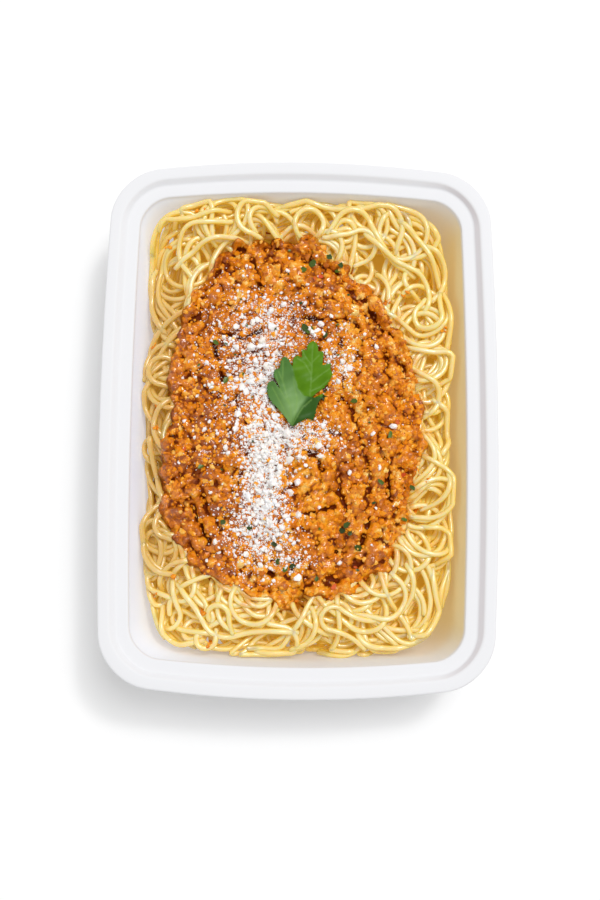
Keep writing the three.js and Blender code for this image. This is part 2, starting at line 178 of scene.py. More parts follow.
def build_tray():
    """The outer skin runs from the underside up the wall and below ledge, step and flange to
    the turned-down edge, and the inner skin runs back over them to the floor. Both fillets at
    the floor are quarter circles, and the rings at the wall's shares let its colours change."""
    flange = flange_width
    step = flange + step_run
    ledge = step + ledge_width
    angle = np.linspace(np.pi / 2, 0, 9)
    lean = wall_run * (ledge_level - floor_level - floor_fillet) / (ledge_level - floor_level)
    inside = ledge + lean + (floor_fillet * (1 - np.sin(angle)))[:, None]
    inside_level = floor_level + floor_fillet * (1 - np.cos(angle))
    around = floor_fillet + sheet
    outside = ledge + lean - sheet + (around * (1 - np.sin(angle)))[:, None]
    outside_level = around * (1 - np.cos(angle))
    fillet_in = stack(inside[:, 0], inside[:, 1], floor_radius, inside_level)
    fillet_out = stack(outside[:, 0], outside[:, 1], floor_radius + sheet, outside_level)
    top = np.array([
        [0.0, 0.0, rim_radius, rim_level - flange_skirt],
        [skirt_lean, skirt_lean, rim_radius - 0.3, rim_level],
        [*flange, flange_radius, rim_level],
        [*step, step_radius, ledge_level],
        [*ledge, ledge_radius, ledge_level],
        fillet_in[0],
    ])
    under = np.array([
        fillet_out[0],
        [*(ledge - sheet), ledge_radius + sheet, ledge_level - sheet],
        [*(step - sheet), step_radius + sheet, ledge_level - sheet],
        [*(flange - sheet), flange_radius, rim_level - sheet],
        [skirt_root, skirt_root, flange_radius, rim_level - sheet],
        [skirt_inside, skirt_inside, rim_radius - skirt_inside, rim_level - flange_skirt],
    ])
    outer = np.concatenate([fillet_out[::-1], rounded(under, fold_reach)[1:]])
    upper = rounded(top, fold_reach)
    wall_shares = np.array([[0.06], [0.2], [0.5]])
    wall = upper[-2] + wall_shares * (upper[-1] - upper[-2])
    rings = tray_surface(np.concatenate([outer, upper[:-1], wall, fillet_in]))
    count, size = rings.shape[:2]
    points = np.concatenate([rings.reshape(-1, 3), [[0, 0, 0], [0, 0, floor_level]]])
    piece = mesh_piece("tray_shell", points, closed_faces(count, size))
    # What the plastic's colours go by: the inner skin, its drawn part below the ledge, the painted
    # reflection of the pasta on the right wall, the painted light on the left wall, and the shaded
    # step on the right.
    inner = np.arange(len(points)) >= size * len(outer)
    x, y, z = points.T
    drawn = smooth_step(z, ledge_level - 0.5, ledge_level - 3) * inner
    add_attribute(piece, "drawn", drawn)
    add_attribute(piece, "film", smooth_step(x, 20, 62) * smooth_step(np.abs(y), 100, 78) * drawn)
    add_attribute(piece, "pale", smooth_step(-x, 20, 62) * drawn)
    on_step = smooth_step(z, rim_level, rim_level - 0.7)
    on_step = on_step * smooth_step(z, ledge_level, ledge_level + 0.7)
    add_attribute(piece, "shaded_step", on_step * inner * smooth_step(x, 50, 70))
    add_attribute(piece, "inner", inner)
    return piece


class Signal:
    """One output of a material's nodes. Sums and products of signals and numbers add Math nodes."""

    def __init__(self, finish, socket):
        self.finish, self.socket = finish, socket

    def maths(self, operation, *values):
        """A Math node on signals and numbers."""
        return self.finish.node("Math", {"operation": operation}, dict(enumerate(values)))

    def __add__(self, other):
        return self.maths("ADD", self, other)

    def __sub__(self, other):
        return self.maths("SUBTRACT", self, other)

    def __rsub__(self, other):
        return self.maths("SUBTRACT", other, self)

    def __mul__(self, other):
        return self.maths("MULTIPLY", self, other)

    __radd__ = __add__
    __rmul__ = __mul__


class Finish:
    """A material in the making, around one Principled shader."""

    def __init__(self, name, **constants):
        self.material = bpy.data.materials.new(name)
        self.material.use_nodes = True
        self.tree = self.material.node_tree
        self.shader = self.tree.nodes["Principled BSDF"]
        for socket, value in constants.items():
            self.shader.inputs[socket.replace("_", " ")].default_value = value

    def node(self, kind, settings=None, inputs=None, output=0):
        """Adds a node, sets its settings and then its sockets, and returns one output."""
        made = self.tree.nodes.new("ShaderNode" + kind)
        for key, value in (settings or {}).items():
            if key == "stops":
                self.set_stops(made.color_ramp.elements, value)
            else:
                setattr(made, key, value)
        for key, value in (inputs or {}).items():
            self.feed(made.inputs[key], value)
        return Signal(self, made.outputs[output])

    def set_stops(self, elements, stops):
        """Gives a ramp its stops, each a place from 0 to 1 and a colour."""
        while len(elements) < len(stops):
            elements.new(0.5)
        for element, (place, colour) in zip(elements, stops):
            element.position, element.color = place, (*colour, 1)

    def feed(self, socket, value):
        """Links a signal to a socket, or sets the socket's own value."""
        if isinstance(value, Signal):
            self.tree.links.new(value.socket, socket)
        else:
            socket.default_value = (*value, 1) if socket.type == "RGBA" else value

    def place(self):
        """Where a point lies on the object, in metres."""
        return self.node("TexCoord", output="Object")

    def attribute(self, name):
        """The number that add_attribute gave the piece's points."""
        return self.node("Attribute", {"attribute_name": name}, output="Fac")

    def noise(self, scale, detail=2.0):
        """Soft noise of a number of waves a metre, from about 0 to 1."""
        return self.node("TexNoise", {}, {"Vector": self.place(), "Scale": scale, "Detail": detail})

    def ramp(self, value, *stops):
        """A colour read off between stops, at the value."""
        return self.node("ValToRGB", {"stops": stops}, {0: value})

    def blend(self, share, low, high):
        """A colour that goes from low to high as the share goes from 0 to 1."""
        settings = {"data_type": "RGBA", "clamp_factor": True}
        return self.node("Mix", settings, {0: share, 6: low, 7: high}, output=2)

    def bump(self, height, distance, strength=1.0, normal=None):
        """A normal that leans as if the surface stood out by height times distance, in metres."""
        inputs = {"Height": height, "Distance": distance, "Strength": strength}
        return self.node("Bump", {}, {**inputs, **({"Normal": normal} if normal else {})})

    def wear(self, piece, **inputs):
        """Feeds the shader's changing sockets and gives the piece this finish."""
        for socket, value in inputs.items():
            self.feed(self.shader.inputs[socket.replace("_", " ")], value)
        piece.data.materials.clear()
        piece.data.materials.append(self.material)
        return piece


# The inside of the sheet has a painted glow, as if light came through the thin plastic:
# bluish where only air is behind it, brightest on the left wall, which faces the light, held
# back on the shaded step on the right, and warm on the right wall, where the base colour is
# tinted too: a painted reflection of the pasta.
tray = build_tray()
plastic = Finish("white_polypropylene", IOR=1.15, Emission_Strength=1.0)
cloudy = plastic.noise(26, 3)
film = plastic.attribute("film")
plain = plastic.blend(cloudy, (0.65, 0.65, 0.665), (0.66, 0.66, 0.675))
painted_glow = plastic.blend(plastic.attribute("inner"), (0.0, 0.0, 0.0), (0.15, 0.152, 0.156))
painted_glow = plastic.blend(plastic.attribute("drawn"), painted_glow, (0.18, 0.185, 0.20))
painted_glow = plastic.blend(plastic.attribute("pale"), painted_glow, (0.29, 0.335, 0.42))
painted_glow = plastic.blend(plastic.attribute("shaded_step"), painted_glow, (0.03, 0.0, 0.0))
plastic.wear(
    tray,
    Base_Color=plastic.blend(film, plain, (0.66, 0.55, 0.35)),
    Emission_Color=plastic.blend(film, painted_glow, (0.225, 0.19, 0.095)),
    Roughness=0.55 - plastic.noise(140, 3) * 0.1,
    Normal=plastic.bump(plastic.noise(900, 2), 0.00002, 0.5),
)
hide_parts("tray")

# ---- Bed of spaghetti ------------------------------------------------------
# A portion of boiled spaghetti, tipped into the tray and lying in loops round the sauce.
# Sheaves of two or three strands are laid where the bed is lowest, each over those before,
# and single loops go on top. Heights follow from what a strand is laid on.

bed_middle = np.array([-0.8, 0.2])
bed_half = np.array([65.0, 95.4])
bed_squareness = 5.6
bed_low_edge = 26.5
bed_top = 30.5
bed_far_bank = 13.0
bed_right_bank = 3.0
bed_left_drop = 3.0
wall_lean = wall_run / (ledge_level - floor_level)
bed_core_depth = 4.6
bed_core_shoulder = 3.0
bed_core_foot = 1.6
strand_width = 2.3
stride = 1.5
sight = 3.5
easing = 13
sharpest_bend = 0.17
sheaf_wander, sheaf_memory = 0.034, 12
own_wander, own_memory = 0.011, 8
sheaf_dip, loop_dip = 3.0, 2.0
tuck_depth = 5
plan_level = 30
# A loop's middle in x and y, its radius, the angle where it starts and the angle that it sweeps
# in degrees, and the length of the strand before and after it.
loops_on_top = [
    [-43, 90, 6.5, 190, -200, 3, 9], [-50, 110, 25, 240, 50, 3, 14], [-42, 74, 10, 100, 130, 16, 6],
    [-16, 87, 5.5, 30, 190, 3, 6], [-20, 88, 7, 60, 200, 9, 5], [-28, 44, 35, 85, 50, 2, 2],
    [-40, 58, 25, 160, 60, 3, 3], [3, 86, 6, 220, -280, 3, 3], [26, 77, 6, 100, -190, 16, 4],
    [34, 84, 9, 95, -125, 46, 6], [22, 83, 8, 140, -130, 8, 28], [44, 56, 11, 60, -100, 28, 2],
    [48, 82, 10, 20, -110, 5, 3], [10, 44, 53, 52, -60, 3, 4], [50, 65, 12, 70, -120, 2, 4],
    [53, 47, 5.5, 150, 230, 7, 9], [60, 26, 6, 80, -150, 18, 9], [51, 13, 8, 50, -110, 18, 4],
    [53, 0, 12, 50, -95, 5, 5], [54, -26, 11.5, 55, -150, 12, 8], [50, -22, 12, 5, -75, 3, 3],
    [58, -48, 7, 80, -140, 9, 4], [50, -77, 9, 10, -100, 18, 5], [33, -66, 15, 25, -75, 4, 4],
    [36, -70, 9, 40, -150, 9, 10], [14, -78, 5, 70, 200, 18, 17], [-6, -89, 7, 70, -200, 8, 8],
    [-3, -81, 11, 25, -100, 2, 3], [-28, -77, 10.5, 215, 80, 22, 26], [-54, -79, 6, 10, -120, 14, 3],
    [-48, -83, 8, 190, 100, 12, 8], [-37, -88, 4, 170, 200, 3, 4], [-32, -77, 4.5, 190, -210, 3, 7],
    [-50, -46, 15.5, 130, 110, 3, 3], [-52, -50, 12, 180, 85, 3, 3], [-54, 11, 12, 125, 100, 9, 9],
    [-58, 24, 6, 75, 200, 8, 6], [-49, 0, 12, 120, 115, 3, 3], [0, -5, 62, 182, 25, 3, 3],
    [-54, -41, 5.5, 110, 150, 3, 3], [-57, -64, 6, 170, 95, 3, 6],
]
sauce_middle = np.array([-2.2, 4.4])
sauce_reach = np.array([54, 56, 63, 77, 73, 58, 51, 62, 76, 78, 74, 59])


def ring_value(values, angle):
    """A smooth closed run through values at equal turns (a Catmull-Rom cubic)."""
    place = (angle / (2 * np.pi)) % 1 * len(values)
    index = np.floor(place).astype(int)
    t = place - index
    a, b, c, d = (values[(index + offset) % len(values)] for offset in (-1, 0, 1, 2))
    return b + 0.5 * t * (c - a + t * (2 * a - 5 * b + 4 * c - d + t * (3 * (b - c) + d - a)))


def sauce_share(x, y):
    """Distance from the sauce's middle over the sauce's reach that way: 1 on its edge."""
    dx, dy = x - sauce_middle[0], y - sauce_middle[1]
    return np.hypot(dx, dy) / ring_value(sauce_reach, np.arctan2(dy, dx))


def bed_share(x, y):
    """Root of the summed powers of x and y over the bed's half sizes, times two sines of the
    angle: 1 on the bed's uneven edge."""
    dx, dy = (x - bed_middle[0]) / bed_half[0], (y - bed_middle[1]) / bed_half[1]
    share = (np.abs(dx) ** bed_squareness + np.abs(dy) ** bed_squareness) ** (1 / bed_squareness)
    angle = np.arctan2(dy, dx)
    return share * (1.002 + 0.008 * np.sin(7 * angle + 1) + 0.006 * np.sin(12 * angle))


def bank_share(x, y):
    """0 at the sauce's edge and 1 at the bed's edge: the one distance over the sum of both."""
    inner, outer = sauce_share(x, y) - 1, 1 - bed_share(x, y)
    return inner / np.maximum(inner + outer, 0.02)


def bed_level(x, y):
    """The bed's top: from bed_top at the sauce it falls as share^1.8 to its edge. It is banked
    up at the far end and a little on the right, drops on the left, and lies in slow waves."""
    share = np.clip(bank_share(x, y), 0, 1)
    bank = bed_far_bank * smooth_step(y, 66, 94) * share
    bank = bank + bed_right_bank * smooth_step(x, 40, 62) * share
    bank = bank - bed_left_drop * smooth_step(-x, 36, 54) * smooth_step(np.abs(y), 85, 60)
    waves = 1.0 * np.sin(x / 11 + 1) * np.sin(y / 14) * share
    return bed_top + (bed_low_edge - bed_top) * share**1.8 + bank + waves


def walk_strands(rng, sheaves, members, steps, tucked):
    """Walks sheaves of strands at once in even strides. A heading turns by a slowly changing
    random curvature, mostly shared by the sheaf, by a pull along the bank and towards a lane
    of its own, and in some stretches by a fixed curvature that makes a loop, wider for each
    next strand. Past the bed's edge a point is drawn back onto it. Tucked strands start under
    the sauce and end there, the others lie anywhere in the bank. The pull looks the sight
    ahead and is followed over the easing, both in mm, and the path is smoothed five times."""

    def shared(low, high):
        """A random number for each sheaf, repeated for its strands."""
        return np.repeat(rng.uniform(low, high, (sheaves, 1)), members, axis=1).ravel()

    member = np.tile(np.arange(members) - (members - 1) / 2, sheaves)
    turn = np.where(shared(0, 1) < 0.5, 1.0, -1.0)
    angle = shared(0, 2 * np.pi) + rng.normal(0, 0.05, member.size)
    if tucked:
        out = ring_value(sauce_reach, angle) * 0.88
        here = sauce_middle + out[:, None] * toward(angle)
        heading = angle + turn * shared(0.1, 1.5)
    else:
        spots = bed_middle + rng.uniform(-1, 1, (40 * sheaves, 2)) * bed_half
        bank = (sauce_share(*spots.T) > 1.02) & (bed_share(*spots.T) < 0.97)
        spots = np.repeat(spots[bank][:sheaves], members, axis=0)
        heading = np.arctan2(spots[:, 0], -spots[:, 1]) + np.where(turn > 0, 0, np.pi)
        heading += shared(-1.2, 1.2)
        here = spots + strand_width * member[:, None] * stack(-np.sin(heading), np.cos(heading))
    wander, own = np.zeros(member.size), np.zeros(member.size)
    lane = shared(0.05, 1.0) + 0.1 * member
    swing, wave, phase = shared(0.05, 0.5), shared(45, 110), shared(0, 2 * np.pi)
    loops = [(start * steps * stride + member * rng.uniform(-4, 4, member.size),
              shared(5, 12) + 1.6 * member, shared(0.4, 1.2),
              np.where(shared(0, 1) < 0.5, 1.0, -1.0))
             for start in (shared(0.05, 0.6), shared(0.5, 1.3))]
    limit = 1.0 - 0.04 * shared(0, 1) ** 2
    path = np.empty((steps, member.size, 2))
    for step in range(steps):
        path[step] = here
        gone, along = step * stride, step / steps
        ahead = lane + swing * np.sin(2 * np.pi * gone / wave + phase)
        ends = smooth_step(along, 0, 0.14) * smooth_step(1 - along, 0, 0.18) if tucked else 1.0
        wanted = np.minimum(ahead, 0.93) * ends - 0.6 * (1 - ends)
        nose = here + sight * toward(heading)
        share = bank_share(*nose.T)
        normal = np.sign(here) * np.abs(here / bed_half) ** (bed_squareness / 2) / bed_half
        normal /= np.linalg.norm(normal, axis=1)[:, None]
        tangent = stack(-normal[:, 1], normal[:, 0]) * turn[:, None]
        pull = 1.5 * (wanted - share) * (1 + 4 * smooth_step(share, 0.8, 1.0))
        aim = tangent + pull[:, None] * normal
        error = np.angle(np.exp(1j * (np.arctan2(aim[:, 1], aim[:, 0]) - heading)))
        kick = np.repeat(rng.normal(size=sheaves), members)
        wander += -wander * stride / sheaf_memory + sheaf_wander * kick
        own += -own * stride / own_memory + own_wander * rng.normal(size=member.size)
        bend = np.clip(error / easing, -sharpest_bend, sharpest_bend) + wander + own
        for loop_at, loop_radius, loop_turns, loop_side in loops:
            looping = (gone > loop_at) & (gone < loop_at + 2 * np.pi * loop_radius * loop_turns)
            bend = np.where(looping, loop_side / loop_radius, bend)
        heading = heading + bend * stride
        here = here + stride * toward(heading)
        over = np.maximum(bed_share(*here.T) / limit, 1)
        here = bed_middle + (here - bed_middle) / over[:, None]
    path = path.transpose(1, 0, 2)
    for _ in range(5):
        padded = np.concatenate([path[:, :1]] * 2 + [path] + [path[:, -1:]] * 2, axis=1)
        path = sum(weight / 16 * padded[:, i:i + steps] for i, weight in enumerate((1, 4, 6, 4, 1)))
    return path.reshape(sheaves, members, steps, 2)


class HeightMap:
    """The height of what lies in the tray, on a square raster about the tray's middle."""

    def __init__(self, pitch, half):
        self.pitch, self.half = pitch, np.array(half)
        self.count = (2 * self.half / pitch).astype(int) + 1
        axes = [np.arange(n) * pitch - h for n, h in zip(self.count, self.half)]
        self.x, self.y = np.meshgrid(*axes, indexing="ij")
        self.z = np.zeros(self.x.shape)

    def cells(self, plan):
        """Row and column of the raster point next to each place."""
        cell = np.rint((plan + self.half) / self.pitch).astype(int)
        return tuple(np.moveaxis(np.clip(cell, 0, self.count - 1), -1, 0))

    def at(self, plan):
        """Height of the raster point next to each place."""
        return self.z[self.cells(plan)]

    def smooth_at(self, plan):
        """Height between raster points, mixed in both directions."""
        place = np.clip((plan + self.half) / self.pitch, 0, self.count - 1.001)
        low = np.floor(place).astype(int)
        u, v = np.moveaxis(place - low, -1, 0)
        i, j = np.moveaxis(low, -1, 0)
        near = self.z[i, j] * (1 - u) + self.z[i + 1, j] * u
        far = self.z[i, j + 1] * (1 - u) + self.z[i + 1, j + 1] * u
        return near * (1 - v) + far * v

    def raise_to(self, plan, height):
        """Raises the raster points next to the places to the height, where they are lower."""
        np.maximum.at(self.z, self.cells(plan), height)


def lay_strand(ground, plan, radius, sag):
    """Lays a strand on the ground and raises the ground to it. Across its width it needs the
    ground's height plus 0.8 of the circle's height there, because soft strands press into each
    other, along its length it hangs from each high point as a parabola, and the sharpest
    valleys are then smoothed. Under the sauce it sinks by the tuck depth."""
    ahead = np.gradient(plan, axis=0)
    ahead /= np.linalg.norm(ahead, axis=1)[:, None] + 1e-9
    side = stack(-ahead[:, 1], ahead[:, 0])
    across = np.linspace(-0.9, 0.9, 5) * radius
    lanes = plan[:, None, :] + across[None, :, None] * side[:, None, :]
    needed = (ground.at(lanes) + 0.8 * np.sqrt(radius**2 - across**2)).max(axis=1)
    gone = np.concatenate([[0], np.cumsum(np.linalg.norm(np.diff(plan, axis=0), axis=1))])
    level = (needed[None, :] - sag * (gone[:, None] - gone[None, :]) ** 2).max(axis=1)
    for _ in range(3):
        level = np.convolve(np.pad(level, 1, mode="edge"), [0.25, 0.5, 0.25], mode="valid")
    level -= tuck_depth * smooth_step(-sauce_share(*plan.T), -1.01, -0.86)
    fine = np.linspace(0, len(plan) - 1, 3 * len(plan))
    column = [np.interp(fine, np.arange(len(plan)), values) for values in (*plan.T, level)]
    sides = [np.interp(fine, np.arange(len(plan)), values) for values in side.T]
    across = np.linspace(-1, 1, 9) * radius
    lanes = stack(column[0], column[1])[:, None] + across[None, :, None] * stack(*sides)[:, None]
    top = column[2][:, None] + 0.5 * np.sqrt(np.maximum(radius**2 - across**2, 0))[None, :]
    ground.raise_to(lanes, top)
    return level


def settle(ground, plan, radius, sag, dip):
    """Centre line of a laid strand: its ends sink by the dip over 7 mm, and it moves out or in
    with the leaning wall, in proportion to its height over the level of the plan."""
    level = lay_strand(ground, plan, radius, sag)
    from_end = stride * np.minimum(np.arange(len(level)), np.arange(len(level))[::-1])
    level = level - dip * (1 - smooth_step(from_end, 0, 7))
    outwards = 1 + wall_lean / bed_half * (level[:, None] - plan_level)
    return np.column_stack([bed_middle + (plan - bed_middle) * outwards, level])


def lay_bed(rng, ground, sheaves, members, choices, steps, spare, sag, tucked):
    """Lays sheaf after sheaf. Each is the one of a few walks that fills the deepest gaps below
    the wanted level, less a spare depth, and stands least above it: a gap counts up to 3 mm,
    and what stands over 0.8 mm too high counts double against it. Its strands stop well under
    the sauce, and a fifth of the long ones somewhere in the open."""
    walks = walk_strands(rng, sheaves * choices, members, steps, tucked)
    covered = sauce_share(walks[..., 0], walks[..., 1]) < 0.84
    strands = []
    for index in range(sheaves):
        offers = slice(index * choices, (index + 1) * choices)
        plan, under = walks[offers], covered[offers]
        gap = bed_level(plan[..., 0], plan[..., 1]) - ground.at(plan) - spare
        worth = np.where(under, 0, np.minimum(gap, 3) + 2 * np.minimum(gap + 0.8, 0))
        worth = worth.mean(axis=(1, 2))
        best = int(worth.argmax())
        for strand, hidden in zip(plan[best], under[best]):
            shown = np.flatnonzero(~hidden)
            if len(shown) < 16:
                continue
            first, last = max(shown[0] - 2, 0), shown[-1] + 3
            if tucked and rng.random() < 0.2:
                last = first + int((last - first) * rng.uniform(0.35, 0.95))
            chosen = strand[first:last]
            radius = strand_width / 2 * rng.uniform(0.93, 1.07)
            dip = sheaf_dip * (rng.random() < 0.9)
            strands.append((settle(ground, chosen, radius, sag, dip), radius))
    return strands


def loop_by_hand(x, y, radius, start, sweep, lead, tail):
    """Plan of one loop: an arc about x, y from the start angle through the sweep, in degrees,
    with a lead before it and a tail after it that bend back a little."""
    start, sweep = np.radians([start, sweep])
    side, arc = np.sign(sweep), radius * abs(sweep)
    gone = np.arange(-lead, arc + tail, stride)
    bend = side / radius * np.where((gone >= 0) & (gone <= arc), 1, -0.2)
    first = np.searchsorted(gone, 0)
    heading = np.cumsum(bend * stride)
    heading += start + side * np.pi / 2 - heading[first]
    plan = np.cumsum(stride * toward(heading), axis=0)
    plan += [x, y] + radius * toward(start) - plan[first]
    return bed_middle + (plan - bed_middle) / np.maximum(bed_share(*plan.T) / 0.985, 1)[:, None]


def strand_tubes(name, strands, sides, rng):
    """A round tube along each strand: its centre line plus the radius times cosine across and
    sine upwards. The radius swells a little along it, and a low cone closes each cut end. The
    colours go by a strand's own random tone, by painted light on the side that faces up, by
    painted shade where a point lies low in the bed or near the wall, by the sauce stain beside
    it, and by painted shade with some sauce stain on the low stretch on the left."""
    points, quads, fans, shades, tops, total = [], [], [], [], [], 0
    turn = 2 * np.pi * np.arange(sides) / sides
    for line, radius in strands:
        count = len(line)
        ahead = np.gradient(line, axis=0)
        ahead /= np.linalg.norm(ahead, axis=1)[:, None]
        side = np.cross(ahead, [0, 0, 1])
        side /= np.linalg.norm(side, axis=1)[:, None]
        up = np.cross(side, ahead)
        swell = 1 + 0.05 * np.sin(np.arange(count) * 0.35 + 6 * rng.random())
        swell[[0, -1]] *= 0.86
        ring = np.cos(turn)[:, None] * side[:, None] + np.sin(turn)[:, None] * up[:, None]
        tube = line[:, None] + radius * swell[:, None, None] * ring
        ends = line[[0, -1]] + 0.12 * radius * np.array([-1, 1])[:, None] * ahead[[0, -1]]
        points += [tube.reshape(-1, 3), ends]
        quad, *caps = closed_faces(count, sides, total)
        quads.append(quad)
        fans += caps
        shades.append(np.full(count * sides + 2, rng.random()))
        tops += [smooth_step(ring[..., 2].ravel(), 0.15, 1.0), np.full(2, 0.5)]
        total += count * sides + 2
    points = np.concatenate(points)
    piece = mesh_piece(name, points, [np.concatenate(quads), np.concatenate(fans)])
    add_attribute(piece, "shade", np.concatenate(shades))
    add_attribute(piece, "top_side", np.concatenate(tops))
    x, y, z = points.T
    low_side = smooth_step(-x, 44, 56) * smooth_step(np.abs(y), 80, 50)
    sunken = smooth_step(bed_level(x, y) - z, -1.0, 5.0)
    outermost = smooth_step(bed_share(x, y), 0.88, 1.0)
    add_attribute(piece, "sunken", np.maximum(sunken, 0.5 * outermost))
    add_attribute(piece, "near_sauce", smooth_step(sauce_share(x, y), 1.12, 0.98))
    add_attribute(piece, "low_side", low_side)
    return piece


def build_bed_core(segments=240):
    """What the upper strands lie on: a closed heap whose rings run from the tray's floor up
    beside the wall and in over the top, a few strands below the bed's level."""
    turn = 2 * np.pi * np.arange(segments) / segments
    direction = toward(turn)
    edge = 1 / bed_share(direction[:, 0] + bed_middle[0], direction[:, 1] + bed_middle[1])
    flank = [(0.8, bed_core_foot), (0.86, 4), (0.9, 12), (0.92, 17)]
    rings = [np.column_stack([bed_middle + share * edge[:, None] * direction,
                              np.full(segments, level)]) for share, level in flank]
    for share in np.linspace(0.9, 0.1, 26):
        plan = bed_middle + share * edge[:, None] * direction
        level = bed_level(*plan.T) - bed_core_depth
        level -= bed_core_shoulder * smooth_step(share, 0.8, 0.9)
        rings.append(np.column_stack([plan, level]))
    low, high = [*bed_middle, bed_core_foot], [*bed_middle, bed_top - bed_core_depth]
    points = np.concatenate(rings + [[low, high]])
    return mesh_piece("spaghetti_under", points, closed_faces(len(rings), segments))


pasta_rng = np.random.default_rng(71)
ground = HeightMap(0.5, tray_half)
ground.z = bed_level(ground.x, ground.y) - bed_core_depth
ground.z -= bed_core_shoulder * smooth_step(bed_share(ground.x, ground.y), 0.8, 0.9)
ground.z -= 5 * smooth_step(bed_share(ground.x, ground.y), 0.9, 0.97)
bed_core = build_bed_core()
fill = lay_bed(pasta_rng, ground, sheaves=110, members=2, choices=30, steps=46, spare=1.8,
               sag=0.14, tucked=False)
lower_strands = strand_tubes("spaghetti_lower", fill, 7, pasta_rng)
long_strands = lay_bed(pasta_rng, ground, sheaves=36, members=3, choices=30, steps=100,
                       spare=-0.6, sag=0.1, tucked=True)
for loop in loops_on_top:
    radius = strand_width / 2 * pasta_rng.uniform(0.95, 1.07)
    laid = settle(ground, loop_by_hand(*loop), radius, sag=0.1, dip=loop_dip)
    long_strands.append((laid, radius))
upper_strands = strand_tubes("spaghetti_upper", long_strands, 9, pasta_rng)

# Wet strands are painted cream where they face up and golden on their sides, as painted light
# and shade, and darker gold low in the bed and by the wall, as painted shade. Light that comes
# through them warms the shaded sides: a faint painted glow stands for it.
pasta = Finish("boiled_spaghetti", IOR=1.36, Coat_Weight=1.0, Coat_Roughness=0.14, Coat_IOR=1.55,
               Emission_Strength=1.0, Subsurface_Weight=0.6, Subsurface_Scale=0.002,
               Subsurface_Radius=(1.0, 0.6, 0.2))
floury = pasta.noise(240, 4)
paleness = pasta.attribute("shade") * 0.6 + floury * 0.4
tint = pasta.blend(paleness, (0.82, 0.74, 0.48), (0.81, 0.67, 0.29))
# Painted light: cream on the upper side of each strand, golden on its shaded sides.
tint = pasta.blend(pasta.attribute("top_side"), (0.86, 0.60, 0.055), tint)
# Painted shade: darker gold on strands low in the bed and by the wall.
tint = pasta.blend(pasta.attribute("sunken") * 0.8, tint, (0.82, 0.56, 0.08))
glow = pasta.blend(pasta.attribute("top_side"), (0.15, 0.092, 0.006), (0.045, 0.031, 0.004))
patches = pasta.ramp(pasta.noise(160, 3), (0.45, (0, 0, 0)), (0.62, (1, 1, 1)))
oily = pasta.attribute("near_sauce") * patches
# Painted shade, with some sauce stain, on the low stretch on the left.
tint = pasta.blend(pasta.attribute("low_side") * 0.8, tint, (0.60, 0.37, 0.10))
tint = pasta.blend(oily * 0.8, tint, (0.72, 0.30, 0.03))
for piece in (lower_strands, upper_strands):
    pasta.wear(
        piece,
        Base_Color=tint,
        Emission_Color=glow,
        Roughness=floury * 0.15 + 0.12,
        Normal=pasta.bump(pasta.noise(700, 3), 0.0001, 0.5),
    )
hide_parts("spaghetti")
# The core shows only in the gaps between the strands; its darker gold and a painted glow stand
# for the warm shade between them and the light that comes through the pile.
under = Finish("spaghetti_below", IOR=1.3, Emission_Color=(0.9, 0.54, 0.05, 1),
               Emission_Strength=0.17)
under.wear(
    bed_core,
    Base_Color=under.blend(under.noise(300, 3), (0.62, 0.40, 0.05), (0.70, 0.47, 0.08)),
    Roughness=under.noise(200) * 0.2 + 0.4,
)

# ---- Meat sauce ------------------------------------------------------------
# Minced meat, grated carrot and onion, simmered in tomato and spooned down the middle of the
# pasta. It is one mound of crumbs stuck together, with folds and cracks where it slid.

sauce_crest = 6.6
sauce_edge_level = 31.0
mound_reach = 1.1
sauce_foot = 22.0
grains_a_metre = 650.0
crack_depth, crack_width = 3.8, 1.1
sauce_cracks = [
    [[-20, 74], [-19, 67], [-16, 61]], [[24, 5], [26, -1], [27, -9]],
    [[16, -18], [16, -26], [19, -32], [21, -36]],
    [[28, -14], [29, -22], [28, -28]], [[38, -11], [38, -22], [38, -29]],
    [[29, -38], [27, -45], [27, -49]], [[1, -36], [7, -35], [14, -33]],
    [[34, -8], [36, -13]], [[3, 46], [11, 44], [19, 45]],
    [[23, 46], [26, 42], [28, 35]], [[-38, -29], [-37, -35], [-31, -43]],
    [[-11, -60], [-5, -56], [1, -55]], [[-42, -33], [-38, -43], [-34, -52]],
    [[8, -49], [13, -50], [20, -53]], [[-33, 39], [-23, 37], [-16, 41]],
    [[-36, 34], [-33, 28], [-32, 20]], [[17, 12], [22, 10], [25, 5]],
    [[1, -12], [8, -13], [11, -18]], [[36, 33], [37, 28], [36, 24]],
]


def soft_noise(rng, x, y, size):
    """Random values on a square lattice of the given size, mixed between by 3t^2 - 2t^3."""
    table = rng.random((64, 64))
    u, v = x / size + rng.uniform(0, 64), y / size + rng.uniform(0, 64)
    i, j = np.floor(u).astype(int), np.floor(v).astype(int)
    s, t = u - i, v - j
    s, t = s * s * (3 - 2 * s), t * t * (3 - 2 * t)
    i, j, k, m = i % 64, j % 64, (i + 1) % 64, (j + 1) % 64
    near = table[i, j] * (1 - s) + table[k, j] * s
    far = table[i, m] * (1 - s) + table[k, m] * s
    return near * (1 - t) + far * t


def line_distance(x, y, line):
    """Shortest distance to a run of straight stretches."""
    best = np.full(x.shape, 1e9)
    for (ax, ay), (bx, by) in zip(line[:-1], line[1:]):
        dx, dy = bx - ax, by - ay
        t = np.clip(((x - ax) * dx + (y - ay) * dy) / (dx * dx + dy * dy), 0, 1)
        best = np.minimum(best, np.hypot(x - ax - t * dx, y - ay - t * dy))
    return best


def blurred(values, width):
    """Mean over a square window of an odd number of cells, twice."""
    for axis in (0, 1, 0, 1):
        pad = [(0, 0), (0, 0)]
        pad[axis] = (width // 2 + 1, width // 2)
        total = np.cumsum(np.pad(values, pad, mode="edge"), axis=axis)
        low, high = (np.take(total, np.arange(values.shape[axis]) + shift, axis=axis)
                     for shift in (0, width))
        values = (high - low) / width
    return values


